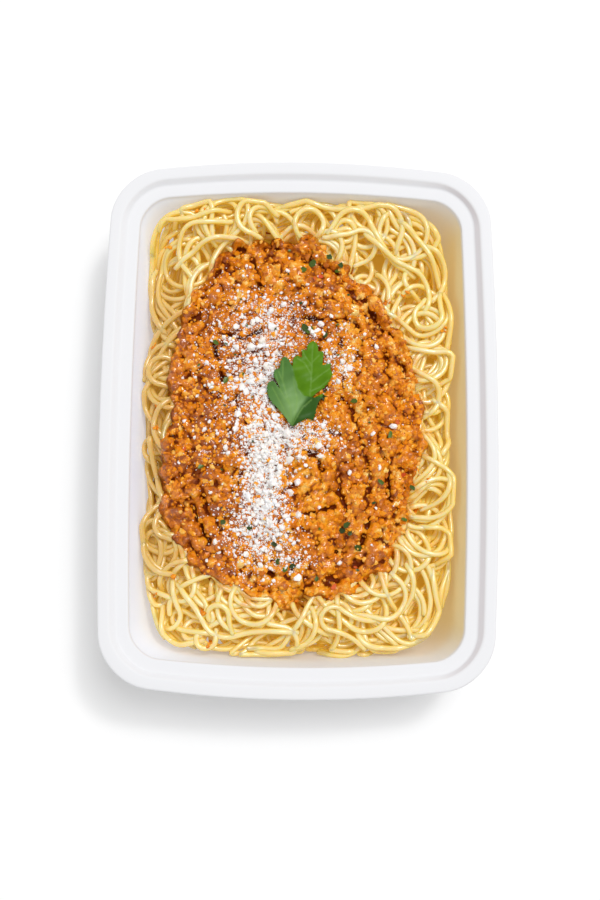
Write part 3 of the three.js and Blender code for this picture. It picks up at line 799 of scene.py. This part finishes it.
def sauce_level(rng, x, y):
    """The mound before its crumbs: edge level plus crest times sqrt(1 - share^3.2), ragged at
    the edge, draped over the strands below, folded, and cut by the cracks."""
    ragged = 0.10 * (soft_noise(rng, x, y, 9) - 0.5) + 0.07 * (soft_noise(rng, x, y, 4) - 0.5)
    share = sauce_share(x, y) + ragged
    level = sauce_edge_level + sauce_crest * np.sqrt(np.maximum(1 - share**3.2, 0))
    under = blurred(ground.smooth_at(stack(x, y)), 5) + 1.6 - 3 * smooth_step(share, 0.97, 1.04)
    level = np.maximum(level, under)
    wx = x + 5 * (soft_noise(rng, x, y, 17) - 0.5)
    wy = y + 5 * (soft_noise(rng, x, y, 17) - 0.5)
    for size, depth in ((15, 1.7), (7, 0.9)):
        ridge = 1 - np.abs(2 * soft_noise(rng, wx, wy, size) - 1)
        level += depth * (ridge**2 - 0.5)
    for line in sauce_cracks:
        level -= crack_depth * np.exp(-((line_distance(wx, wy, line) / crack_width) ** 2))
    return level - 7 * smooth_step(share, 0.985, 1.07), share


def stick_crumbs(rng, relief, tone, count, size_range, height, tone_spread):
    """Sets domes of crumbs on the relief: a crumb's height is the mean of the ground's height
    there and at its middle, plus sqrt(1 - d^2.4) less 0.35 and a random tilt, where d is the
    distance over the radius, measured to six uneven sides. Where crumbs meet the higher one
    shows and gives its tone."""
    angle = rng.uniform(0, 2 * np.pi, count)
    share = np.sqrt(rng.random(count)) * 1.02
    reach = ring_value(sauce_reach, angle)
    middle = sauce_middle + (share * reach)[:, None] * toward(angle)
    radius = rng.uniform(*size_range, count)
    own_tone = rng.normal(0, tone_spread, count)
    window = int(size_range[1] * 1.35 / relief.pitch)
    offset = np.arange(-window, window + 1)
    cell = np.rint((middle + relief.half) / relief.pitch).astype(int)
    i = np.clip(cell[:, 0, None, None] + offset[None, :, None], 0, relief.count[0] - 1)
    j = np.clip(cell[:, 1, None, None] + offset[None, None, :], 0, relief.count[1] - 1)
    dx = relief.x[i, j] - middle[:, 0, None, None]
    dy = relief.y[i, j] - middle[:, 1, None, None]
    distance = np.zeros(dx.shape)
    for side in range(6):
        way = np.pi / 3 * (side + rng.uniform(-0.4, 0.4, (count, 1, 1)))
        out = (dx * np.cos(way) + dy * np.sin(way)) / rng.uniform(0.62, 1.1, (count, 1, 1))
        distance += np.maximum(out / radius[:, None, None], 0) ** 5
    distance = distance**0.2
    inside = distance < 1
    tilt = rng.normal(0, 0.35, (2, count, 1, 1)) / radius[:, None, None]
    dome = np.sqrt(np.maximum(1 - distance**2.4, 0)) - 0.35 + tilt[0] * dx + tilt[1] * dy
    grow = height * (radius / size_range[1])[:, None, None] * rng.uniform(0.6, 1.2, (count, 1, 1))
    ground_here = relief.z[i, j]
    value = (0.5 * ground_here + 0.5 * relief.at(middle)[:, None, None] + grow * dome)[inside]
    flat_cell = (i * relief.count[1] + j)[inside]
    owner = np.broadcast_to(own_tone[:, None, None], inside.shape)[inside]
    order = np.argsort(value)
    value, flat_cell, owner = value[order], flat_cell[order], owner[order]
    top, crumb_tone = relief.z.ravel().copy(), np.zeros(relief.z.size)
    best = np.full(relief.z.size, -1e9)
    best[flat_cell], crumb_tone[flat_cell] = value, owner
    higher = best > top
    relief.z = np.where(higher, best, top).reshape(relief.z.shape)
    return tone + np.where(higher, crumb_tone, 0).reshape(tone.shape)


sauce_rng = np.random.default_rng(5)
relief = HeightMap(0.25, [64, 88])
relief.z, ragged_share = sauce_level(sauce_rng, relief.x, relief.y)
tone = 0.48 + 0.5 * (soft_noise(sauce_rng, relief.x, relief.y, 12) - 0.5)
# Painted shade: the sauce is darker towards the left, the side away from the light.
tone -= 0.16 * smooth_step(-relief.x, 8, 42)  # browner towards the left
# How many crumbs, their radius, how high they stand, how much their tone varies, and the size
# of the fine relief that goes over them.
crumb_kinds = [(420, (2.6, 5.4), 3.4, 0.10, 3.4), (3200, (1.1, 2.5), 1.6, 0.17, 1.7),
               (9000, (0.45, 1.0), 0.5, 0.12, 0.9)]
for count, sizes, height, spread, grain in crumb_kinds:
    tone = stick_crumbs(sauce_rng, relief, tone, count, sizes, height, spread)
    relief.z += 0.28 * height * (soft_noise(sauce_rng, relief.x, relief.y, grain) - 0.5)
relief.z -= 9 * smooth_step(ragged_share, 1.0, 1.08)
# Hollows lie below the mean height round them, taken over 11 and over 25 cells of the raster,
# and are painted darker as shade; the flank at the edge gets a little of it.
hollow = np.clip((blurred(relief.z, 11) - relief.z) / 1.4, -0.5, 1)
hollow += np.clip((blurred(relief.z, 25) - relief.z) / 2.8, -0.3, 1)
hollow = np.where(ragged_share > 0.99, 0.3, hollow)


def build_sauce(across=232, along=330):
    """A square grid of points pressed into a disc (x sqrt(1 - y^2 / 2), and y likewise), spread
    to the sauce's outline and lifted to the relief, closed below by a fan from a low middle."""
    v, u = np.meshgrid(np.linspace(-1, 1, along), np.linspace(-1, 1, across), indexing="ij")
    px, py = u * np.sqrt(1 - v * v / 2), v * np.sqrt(1 - u * u / 2)
    reach = mound_reach * ring_value(sauce_reach, np.arctan2(py, px))
    plan = sauce_middle + stack(px, py) * reach[..., None]
    height = np.maximum(relief.smooth_at(plan), sauce_foot + 0.5)
    points = np.concatenate([stack(plan[..., 0], plan[..., 1], height).reshape(-1, 3),
                             [[*sauce_middle, sauce_foot]]])
    number = np.arange(across * along).reshape(along, across)
    border = np.concatenate([number[0, :-1], number[:-1, -1], number[-1, :0:-1], number[:0:-1, 0]])
    piece = mesh_piece("meat_sauce", points, [grid_faces(along, across, wrap=False),
                                             fan_faces(border, across * along, inwards=True)])
    cells = relief.cells(points[:, :2])
    add_attribute(piece, "tone", tone[cells])
    add_attribute(piece, "hollow", hollow[cells])
    return piece


def sauce_finish(name, tone_signal):
    """A wet finish whose tone runs from brown meat over orange sauce to yellow onion, shifted
    by fine noise and by a random number for each small facet."""
    finish = Finish(name, IOR=1.2, Coat_Roughness=0.08, Coat_IOR=1.5, Subsurface_Weight=0.1,
                    Subsurface_Scale=0.001, Subsurface_Radius=(1.0, 0.35, 0.1))
    fine = finish.noise(420, 4)
    grains = {"Vector": finish.place(), "Scale": grains_a_metre}
    facet = finish.node("TexVoronoi", {}, grains, output="Color")
    speck = finish.node("SeparateColor", {}, {0: facet})
    colour = finish.ramp(
        tone_signal(finish) + fine * 0.4 + speck * 0.2 - 0.3,
        (0.0, (0.33, 0.075, 0.008)), (0.3, (0.60, 0.16, 0.006)), (0.5, (0.81, 0.245, 0.003)),
        (0.72, (0.92, 0.37, 0.012)), (1.0, (0.96, 0.66, 0.20)))
    return finish, fine, colour


sauce = build_sauce()
saucy, fine, colour = sauce_finish("meat_sauce", lambda finish: finish.attribute("tone"))
hollow_shade = saucy.attribute("hollow")
# Painted shade in the hollows, where the coat is held back too.
colour = saucy.blend(hollow_shade * 1.35, colour, (0.14, 0.018, 0.0))
grains = {"Vector": saucy.place(), "Scale": grains_a_metre}
grain = saucy.node("TexVoronoi", {}, grains, output="Distance")
wet = saucy.ramp(saucy.noise(260, 3), (0.42, (0.1, 0.1, 0.1)), (0.6, (1.0, 1.0, 1.0)))
saucy.wear(sauce, Base_Color=colour, Roughness=fine * 0.3 + 0.3, Coat_Weight=wet - hollow_shade,
           Normal=saucy.bump(saucy.noise(1500, 4), 0.0005, 0.6, saucy.bump(1 - grain, 0.0007, 0.8)))
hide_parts("sauce")

# ---- Crumbs of mince -------------------------------------------------------
# Loose crumbs of minced meat and bits of carrot and onion that stand out of the sauce. They
# are wet with it, so they keep its colours.


def small_ball(level):
    """Points and triangles of a ball of diameter 1, from 20 triangles upwards."""
    ball = bmesh.new()
    bmesh.ops.create_icosphere(ball, subdivisions=level, radius=0.5)
    points = np.array([vertex.co[:] for vertex in ball.verts])
    faces = np.array([[vertex.index for vertex in face.verts] for face in ball.faces])
    ball.free()
    return points, faces


def scattered(name, rng, ball, places, sizes, stretch, dents, flat=False):
    """A copy of the ball at each place: stretched along its axes, dented point by point, and
    turned by a random unit quaternion. Each copy gets a random shade of its own."""
    ball_points, ball_faces = ball
    count = len(places)
    q = rng.normal(size=(4, count))
    w, x, y, z = q / np.linalg.norm(q, axis=0)
    rotation = np.array([[1 - 2 * (y * y + z * z), 2 * (x * y - w * z), 2 * (x * z + w * y)],
                         [2 * (x * y + w * z), 1 - 2 * (x * x + z * z), 2 * (y * z - w * x)],
                         [2 * (x * z - w * y), 2 * (y * z + w * x), 1 - 2 * (x * x + y * y)]])
    scale = rng.uniform(1 - stretch, 1 + stretch, (count, 1, 3)) * sizes[:, None, None]
    bumps = np.clip(1 + dents * rng.normal(size=(count, len(ball_points), 1)), 0.5, 1.6)
    turned = np.einsum("ijn,nvj->nvi", rotation, ball_points * scale * bumps)
    points = (turned + places[:, None]).reshape(-1, 3)
    faces = ball_faces[None] + (np.arange(count) * len(ball_points))[:, None, None]
    piece = mesh_piece(name, points, [faces.reshape(-1, 3)], flat=flat)
    add_attribute(piece, "shade", np.repeat(rng.random(count), len(ball_points)))
    return piece


def on_relief(plan, lift):
    """Places in space: the relief's height at each place in plan, plus the lift."""
    return np.column_stack([plan, relief.smooth_at(plan) + lift])


def anywhere_on_sauce(rng, count, most=0.99):
    """Places spread evenly over the sauce: the root of a random share of its reach."""
    angle = rng.uniform(0, 2 * np.pi, count)
    reach = ring_value(sauce_reach, angle) * np.sqrt(rng.random(count)) * most
    return sauce_middle + reach[:, None] * toward(angle)


# The leaf's edge, from its foot up its left side and down its right, measured from the foot.
leaf_foot = np.array([-2.6, -0.1])
leaf_outline = np.array([
    [-0.2, -0.1], [-2.3, 2.4], [-4.7, 5.3], [-7.7, 8.8], [-9.7, 11.6], [-10.4, 14.0], [-10.6, 16.5],
    [-10.0, 18.0], [-8.6, 18.4], [-7.1, 17.5], [-5.4, 15.4], [-6.5, 17.9], [-7.7, 19.8], [-7.9, 21.8],
    [-7.5, 23.3], [-5.7, 24.0], [-5.3, 26.1], [-4.3, 28.3], [-3.1, 28.3], [-1.7, 26.9], [-0.4, 24.6],
    [-0.1, 26.9], [0.7, 28.6], [2.2, 29.2], [3.5, 28.7], [3.6, 30.8], [4.0, 32.2], [5.5, 31.7],
    [5.8, 33.5], [6.9, 34.8], [8.1, 35.6], [9.3, 34.7], [10.2, 32.8], [10.4, 31.3], [11.9, 31.2],
    [12.5, 29.6], [12.2, 25.6], [13.7, 25.8], [15.6, 26.0], [15.4, 23.9], [16.2, 21.8], [15.4, 20.0],
    [14.4, 18.2], [12.3, 15.7], [10.3, 14.2], [8.0, 12.1], [8.9, 11.8], [12.2, 13.5], [11.8, 11.6],
    [10.4, 9.3], [9.5, 6.1], [8.6, 3.3], [7.9, 2.6], [6.0, 3.0], [4.2, 2.1], [1.9, 0.8],
])


def within(plan, outline):
    """True inside an outline: a line to the right of the point crosses it an odd number of times."""
    x, y = plan[:, 0, None], plan[:, 1, None]
    after = np.roll(outline, -1, axis=0)
    rising = (outline[:, 1] > y) != (after[:, 1] > y)
    run = after - outline
    run_y = np.where(np.abs(run[:, 1]) < 1e-9, 1e-9, run[:, 1])
    cross = outline[:, 0] + run[:, 0] * (y - outline[:, 1]) / run_y
    return (rising & (cross > x)).sum(axis=1) % 2 == 1


def off_leaf(plan):
    """True where the leaf doesn't lie."""
    return ~within(plan - leaf_foot, leaf_outline)


crumb_rng = np.random.default_rng(12)
crumb_plan = anywhere_on_sauce(crumb_rng, 3600)
crumb_plan = crumb_plan[off_leaf(crumb_plan)]
crumb_sizes = 1.0 + 2.0 * crumb_rng.random(len(crumb_plan)) ** 2
crumb_places = on_relief(crumb_plan, -0.22 * crumb_sizes)
mince = scattered("mince_crumbs", crumb_rng, small_ball(1), crumb_places, crumb_sizes, 0.4, 0.2, True)
meaty, fine, colour = sauce_finish("mince", lambda finish: finish.attribute("shade") * 0.6 + 0.25)
meaty.wear(mince, Base_Color=colour, Roughness=fine * 0.3 + 0.3, Coat_Weight=fine,
           Normal=meaty.bump(meaty.noise(1300, 4), 0.0003, 0.6))
relief.raise_to(crumb_plan, crumb_places[:, 2] + 0.3 * crumb_sizes)

# ---- Grated cheese ---------------------------------------------------------
# Hard cheese, grated to powder and grains, strewn in a trail down the sauce: thick below the
# leaf, thin towards the edges. The finest grains lie in the gaps, the lumps on top.

# A drift's middle in x and y, its spread in x and y, and its weight.
cheese_drifts = np.array([
    [-14.2, -20.6, 4.6, 13.0, 5.0], [-5.6, -4.7, 8.5, 3.6, 1.9], [-13.3, 38.5, 8.0, 10.0, 1.4],
    [16.1, 26.9, 5.0, 6.5, 0.6], [-19.6, 19.4, 5.5, 9.0, 1.4], [-19.6, -45.4, 7.0, 8.5, 1.1],
    [-11.0, -43.1, 7.0, 7.0, 0.8], [-29.4, 40.4, 9.0, 14.0, 0.6], [-30.9, 2.2, 9.0, 24.0, 0.5],
    [2.0, 20.0, 26.0, 36.0, 0.75], [6.0, -4.6, 9.0, 6.0, 0.35], [-5.0, 44.0, 12.0, 7.0, 0.6],
    [-3.0, -56.4, 5.0, 2.5, 0.25], [-14.5, 17.0, 3.0, 8.0, 0.9],
])


def strewn(rng, count, spread):
    """Places in the drifts: a drift by its weight, then a normal spread about its middle."""
    weight = cheese_drifts[:, 4] / cheese_drifts[:, 4].sum()
    drift = cheese_drifts[rng.choice(len(weight), count, p=weight)]
    plan = drift[:, :2] + rng.normal(size=(count, 2)) * drift[:, 2:4] * spread
    return plan[(sauce_share(plan[:, 0], plan[:, 1]) < 0.97) & off_leaf(plan)]


cheese_rng = np.random.default_rng(33)
octahedron = (0.5 * np.array([[1, 0, 0], [-1, 0, 0], [0, 1, 0], [0, -1, 0], [0, 0, 1], [0, 0, -1]]),
              np.array([[0, 2, 4], [2, 1, 4], [1, 3, 4], [3, 0, 4],
                        [2, 0, 5], [1, 2, 5], [3, 1, 5], [0, 3, 5]]))
# What the bits are called, their shape, how many fall, their sizes, and how far they spread.
cheese_kinds = [
    ("cheese_powder", octahedron, 12500, (0.35, 0.85), 1.0),
    ("cheese_grains", small_ball(1), 1900, (0.8, 1.6), 1.05),
    ("cheese_lumps", small_ball(1), 230, (1.6, 3.4), 1.5),
]
cheese = []
for name, ball, count, (small, large), spread in cheese_kinds:
    plan = strewn(cheese_rng, count, spread)
    sizes = small + (large - small) * cheese_rng.random(len(plan)) ** 1.6
    places = []
    for batch in np.array_split(np.arange(len(plan)), 5):
        spots = on_relief(plan[batch], 0.2 * sizes[batch])
        places.append(spots)
        relief.raise_to(plan[batch], spots[:, 2] + 0.3 * sizes[batch])
    cheese.append(scattered(name, cheese_rng, ball, np.concatenate(places), sizes, 0.35, 0.16,
                            flat=True))

curd = Finish("grated_cheese", IOR=1.45, Subsurface_Weight=0.25, Subsurface_Scale=0.0008,
              Subsurface_Radius=(1.0, 0.8, 0.6))
for piece in cheese:
    curd.wear(
        piece,
        Base_Color=curd.blend(curd.attribute("shade"), (0.96, 0.945, 0.945), (0.94, 0.895, 0.84)),
        Roughness=curd.noise(900) * 0.3 + 0.4,
    )

# ---- Chopped herbs and tomato ----------------------------------------------
# Flat chips of chopped parsley, dark from cooking, and a few bits of tomato skin, all stuck
# to the sauce.

herb_spots = [
    [1, 67], [5, 70], [16, 67], [38, -3], [-31, -40], [20, -41],
    [18, -43], [34, -23], [47, -25], [44, -38], [12, 72], [-31, 19],
    [-8, -56], [-5, -59], [-20, -42], [-10, -49], [11, 39], [4, 41],
    [23, 11], [10, 12], [25, -50], [8, -63], [17, 69], [-35, 35],
    [-40, -17], [22, -44], [-2, -58], [2, 42],
]
herb_rng = np.random.default_rng(8)
small_herbs = 26
herb_plan = np.concatenate([herb_spots, anywhere_on_sauce(herb_rng, small_herbs, 0.93)])
herb_sizes = np.concatenate([herb_rng.uniform(3.2, 5.0, len(herb_spots)),
                             herb_rng.uniform(1.2, 2.2, small_herbs)])


def chips(name, rng, plan, sizes, thickness=0.22):
    """Thin six-sided chips, each tilted a little and bent about its middle line."""
    count = len(plan)
    turn = 2 * np.pi * np.arange(6) / 6
    radius = rng.uniform(0.55, 1.1, (count, 6)) * sizes[:, None] / 2
    around = turn[None] + rng.uniform(0, 2 * np.pi, (count, 1))
    x, y = radius * np.cos(around), 0.65 * radius * np.sin(around)
    spin = rng.uniform(0, 2 * np.pi, (count, 1))
    px, py = x * np.cos(spin) - y * np.sin(spin), x * np.sin(spin) + y * np.cos(spin)
    slope = rng.normal(0, 0.3, (2, count, 1))
    z = slope[0] * px + slope[1] * py + 0.25 * np.abs(y)
    face = np.concatenate([stack(px, py, z), np.zeros((count, 1, 3))], axis=1)
    half = np.array([0, 0, thickness / 2])
    points = np.concatenate([face + half, face - half], axis=1) + on_relief(plan, 0.6)[:, None]
    ring, under = np.arange(6), np.arange(6) + 7
    after, under_after = np.roll(ring, -1), np.roll(under, -1)
    chip = np.concatenate([fan_faces(ring, 6), fan_faces(under, 13, inwards=True),
                           stack(under, under_after, after), stack(under, after, ring)])
    faces = chip[None] + (np.arange(count) * points.shape[1])[:, None, None]
    piece = mesh_piece(name, points.reshape(-1, 3), [faces.reshape(-1, 3)], flat=True)
    add_attribute(piece, "shade", np.repeat(rng.random(count), points.shape[1]))
    return piece


herbs = chips("chopped_parsley", herb_rng, herb_plan, herb_sizes)
cooked = Finish("cooked_parsley", IOR=1.45)
cooked.wear(
    herbs,
    Base_Color=cooked.blend(cooked.attribute("shade"), (0.016, 0.034, 0.003), (0.085, 0.15, 0.010)),
    Roughness=cooked.noise(500) * 0.3 + 0.15,
)

tomato_spots = np.array([[6.0, 63.0], [8.5, 64.5], [43.5, -19.5], [-21.0, -71.5], [41.0, 2.0],
                         [-47.5, -10.0], [24.0, -58.0], [15.0, -66.0]])
tomato_sizes = herb_rng.uniform(2.0, 3.4, len(tomato_spots))
tomato = chips("tomato_bits", herb_rng, tomato_spots, tomato_sizes, thickness=0.6)
ripe = Finish("tomato_skin", IOR=1.45)
ripe.wear(
    tomato,
    Base_Color=ripe.blend(ripe.attribute("shade"), (0.62, 0.06, 0.02), (0.72, 0.14, 0.03)),
    Roughness=ripe.noise(500) * 0.2 + 0.12,
)

# ---- Splashes of sauce on the pasta ----------------------------------------
# Small scraps of sauce that fell beside the mound while it was spooned on, a few at each
# spot. They stick to the strands on which they landed.

scrap_spots = np.array([
    [-56, 78], [-51, -62], [-39, -77], [-59, -70], [-36, -90], [53, -22],
    [51, -34], [36, 54], [44, 57], [-60, 8], [-62, 34], [-42, 90],
    [-61, -1], [60, 42], [-54, 14],
])
scrap_rng = np.random.default_rng(3)
scraps_each = 5
scrap_count = scraps_each * len(scrap_spots)
scrap_plan = np.repeat(scrap_spots, scraps_each, axis=0)
scrap_plan = scrap_plan + scrap_rng.normal(0, 0.9, (scrap_count, 2))
scrap_sizes = scrap_rng.uniform(0.7, 1.9, scrap_count)
scrap_places = np.column_stack([scrap_plan, ground.at(scrap_plan) + 0.1 * scrap_sizes])
scraps = scattered("sauce_scraps", scrap_rng, small_ball(2), scrap_places, scrap_sizes, 0.4, 0.1)
scrappy, fine, colour = sauce_finish("sauce_scrap",
                                     lambda finish: finish.attribute("shade") * 0.3 + 0.4)
scrappy.wear(scraps, Base_Color=colour, Roughness=fine * 0.3 + 0.3, Coat_Weight=fine)

# ---- Parsley leaf ----------------------------------------------------------
# One fresh leaf of flat parsley, laid on the cheese with its foot towards the middle. The
# left half is folded a little and painted duller, as shade; the right half and the tip stand up
# in the light and are painted lighter green. A painted sheen lies near the foot, and painted
# shade on the strip at the lower right.

leaf_veins = [
    [[-0.2, 0.0], [-4.1, 7.7], [-8.6, 16.1]], [[-0.2, 0.0], [-1.2, 8.4], [-4.3, 18.5], [-4.2, 27.0]],
    [[-0.2, 0.0], [1.2, 5.4], [1.8, 10.8], [0.0, 20.4]], [[-0.2, 0.0], [4.2, 7.8], [7.7, 10.9]],
    [[7.1, 12.6], [7.6, 20.5], [7.8, 27.7], [8.1, 34.7]], [[7.4, 18.1], [11.2, 21.1], [15.3, 23.9]],
    [[7.6, 21.7], [4.6, 26.5], [1.6, 28.3]], [[7.7, 26.5], [10.8, 29.6]],
    [[7.7, 25.3], [4.8, 29.5], [3.9, 31.3]], [[7.2, 14.5], [11.2, 16.3], [15.0, 19.4]],
    [[-1.2, 8.4], [-5.2, 14.6], [-7.2, 21.5]], [[-4.3, 18.5], [-6.0, 22.5]],
]
# Along the fold the left part lies over the right one. The area past it takes in the whole
# right part.
leaf_fold = np.array([[-0.4, 24.6], [0.6, 20.4], [2.0, 15.6], [4.7, 12.6], [8.0, 12.1]])
past_fold = np.vstack([leaf_fold, [[40.0, 12.1], [40.0, 60.0], [-0.4, 60.0]]])
leaf_lap = 0.9
leaf_midrib = 7.6
leaf_thickness = 0.35
leaf_bow = 0.2
leaf_tooth = 0.45


def build_leaf(rng, spacing=0.42):
    """A triangle net inside the outline, made twice, a thickness apart, with a band between
    the two edges. Each side of the outline is bowed by t (1 - t) times a mix of the bends at
    its two ends, and on the lobes it has two teeth, the squared sine of a full turn. The leaf
    follows the sauce's height under it and rises towards its tips in low waves; the veins are
    pressed in, and the left part lies over the right one at the fold."""
    count = len(leaf_outline)
    fine = np.arange(0, count, 0.25)
    base = np.floor(fine).astype(int)
    t = (fine - base)[:, None]
    a, b, c, d = (leaf_outline[(base + shift) % count] for shift in (-1, 0, 1, 2))
    bowed = leaf_bow * t * (1 - t) * ((1 - t) * (2 * b - a - c) + t * (2 * c - b - d))
    edge = b + (c - b) * t + bowed
    side = (c - b) / np.linalg.norm(c - b, axis=1)[:, None]
    lobe = (np.cross(b - a, c - b) < 0) & (np.cross(c - b, d - c) < 0)
    tooth = leaf_tooth * lobe * np.sin(2 * np.pi * t[:, 0]) ** 2
    edge = edge + tooth[:, None] * stack(-side[:, 1], side[:, 0])
    low, high = leaf_outline.min(axis=0), leaf_outline.max(axis=0)
    gx, gy = np.meshgrid(np.arange(low[0], high[0], spacing), np.arange(low[1], high[1], spacing))
    inner = stack(gx.ravel(), gy.ravel()) + rng.uniform(-0.1, 0.1, (gx.size, 2))
    near = line_distance(inner[:, 0], inner[:, 1], np.vstack([edge, edge[:1]])) < 0.35 * spacing
    inner = inner[within(inner, edge) & ~near]
    points = np.vstack([edge, inner])
    loop = [(i, (i + 1) % len(edge)) for i in range(len(edge))]
    found = delaunay_2d_cdt([tuple(p) for p in points], loop, [list(range(len(edge)))], 1, 1e-6)
    plan, faces = np.array([p[:] for p in found[0]]), np.array(found[2])
    x, y = plan.T
    turn = np.cross(plan[faces[:, 1]] - plan[faces[:, 0]], plan[faces[:, 2]] - plan[faces[:, 0]])
    faces = np.where((turn > 0)[:, None], faces, faces[:, ::-1])
    beyond = np.where(within(plan, past_fold), 1, -1) * line_distance(x, y, leaf_fold)
    bright = smooth_step(beyond, -0.3, 0.3)
    wave = 0.35 * np.sin(0.5 * x + 0.3 * y) + 0.3 * np.sin(0.9 * y - 0.4 * x)
    lift = 0.05 * np.hypot(x, y) + 0.07 * np.abs(x - leaf_midrib) * bright
    lift = lift + leaf_lap * (1 - bright) + wave
    veins = np.min([line_distance(x, y, line) for line in leaf_veins], axis=0)
    lift += 0.12 * np.minimum(veins, 1.5)
    world = plan + leaf_foot
    rest = blurred(relief.z, 25)[relief.cells(world)]
    level = rest + lift
    level += np.percentile(relief.at(world) - level, 99.8) + 0.5 * leaf_thickness
    top = np.column_stack([world, level + leaf_thickness / 2])
    bottom = np.column_stack([world, level - leaf_thickness / 2])
    sides = np.concatenate([faces[:, [0, 1]], faces[:, [1, 2]], faces[:, [2, 0]]])
    _, first, times = np.unique(np.sort(sides, axis=1), axis=0, return_index=True, return_counts=True)
    rim = sides[first[times == 1]]
    size = len(plan)
    band = np.stack([rim[:, 1], rim[:, 0], rim[:, 0] + size, rim[:, 1] + size], axis=-1)
    piece = mesh_piece("parsley_leaf_fresh", np.vstack([top, bottom]),
                       [np.concatenate([faces, faces[:, ::-1] + size]), band])
    # Painted light: the lit part past the fold, a sheen near the foot, shade on the lower right.
    sheen = np.exp(-(((x - 0.5) / 7) ** 2) - ((y - 7.5) / 11) ** 2)
    folded = smooth_step(x * 7.8 - (y - 0.5) * 4.6, -16, 6)
    add_attribute(piece, "vein", np.tile(np.exp(-((veins / 0.26) ** 2)), 2))
    add_attribute(piece, "bright", np.tile(bright, 2))
    add_attribute(piece, "sheen", np.tile(sheen * (1 - folded), 2))
    add_attribute(piece, "folded", np.tile(folded, 2))
    return piece


leaf = build_leaf(np.random.default_rng(2))
green = Finish("fresh_parsley", IOR=1.25)
blotch = green.noise(220, 3)
# Painted light and shade: lighter green on the lit part, duller green on the shaded one.
bright = green.blend(blotch, (0.06, 0.17, 0.001), (0.11, 0.26, 0.004))
painted_shaded_part = green.blend(blotch, (0.05, 0.15, 0.022), (0.09, 0.21, 0.045))
# Painted sheen near the foot.
painted_shaded_part = green.blend(green.attribute("sheen"), painted_shaded_part, (0.19, 0.34, 0.11))
# Painted shade on the strip at the lower right.
painted_shaded_part = green.blend(green.attribute("folded"), painted_shaded_part, (0.028, 0.09, 0.008))
face = green.blend(green.attribute("bright"), painted_shaded_part, bright)
green.wear(
    leaf,
    Base_Color=green.blend(green.attribute("vein") * 0.5, face, (0.20, 0.36, 0.08)),
    Roughness=blotch * 0.2 + 0.35,
    Normal=green.bump(green.noise(900, 3), 0.0001, 0.5),
)
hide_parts("parsley_leaf")

# ---- Camera, light and floor -----------------------------------------------
# The tray stands on a white sweep and is seen from above, in soft light from the far right.
# A smaller lamp in the same direction gives the glints on the wet strands.

camera_data = bpy.data.cameras.new("camera")
camera = bpy.data.objects.new("camera", camera_data)
bpy.context.scene.collection.objects.link(camera)
bpy.context.scene.camera = camera
camera_above_rim = 450
camera_data.lens = 44.66
camera_data.sensor_width = 36
camera.location = np.array([-2.436, -66.82, rim_level + camera_above_rim]) * mm
camera.rotation_euler = (0.1232, -0.0078, 0.0101)
camera_data.clip_start = 0.01

floor_reach = 4000
floor_corners = floor_reach * np.array([[-1, -1, 0], [1, -1, 0], [1, 1, 0], [-1, 1, 0]])
floor = mesh_piece("floor", floor_corners + [0, 0, -0.05], [[[0, 1, 2, 3]]], body=None)
white = Finish("white_card", Roughness=0.9, Emission_Color=(1, 1, 1, 1), Emission_Strength=0.12)
white.wear(floor, Base_Color=(0.84, 0.84, 0.84))


def add_lamp(name, place, target, size, power):
    """A square lamp at a place in metres, turned so that it shines at the target."""
    lamp = bpy.data.lights.new(name, "AREA")
    lamp.size = size
    lamp.energy = power
    holder = bpy.data.objects.new(name, lamp)
    bpy.context.scene.collection.objects.link(holder)
    holder.location = place
    holder.rotation_euler = (Vector(target) - Vector(place)).to_track_quat("-Z", "Y").to_euler()


add_lamp("softbox", (0.8, 0.85, 3.0), (0, 0, 0), 1.4, 46)
add_lamp("window", (0.9, 1.0, 2.7), (0, 0, 0), 0.32, 14)
world = bpy.data.worlds.new("studio")
bpy.context.scene.world = world
world.use_nodes = True
background = world.node_tree.nodes["Background"]
background.inputs["Color"].default_value = (1, 1, 1, 1)
background.inputs["Strength"].default_value = 0.59
bpy.context.scene.view_settings.view_transform = "Standard"
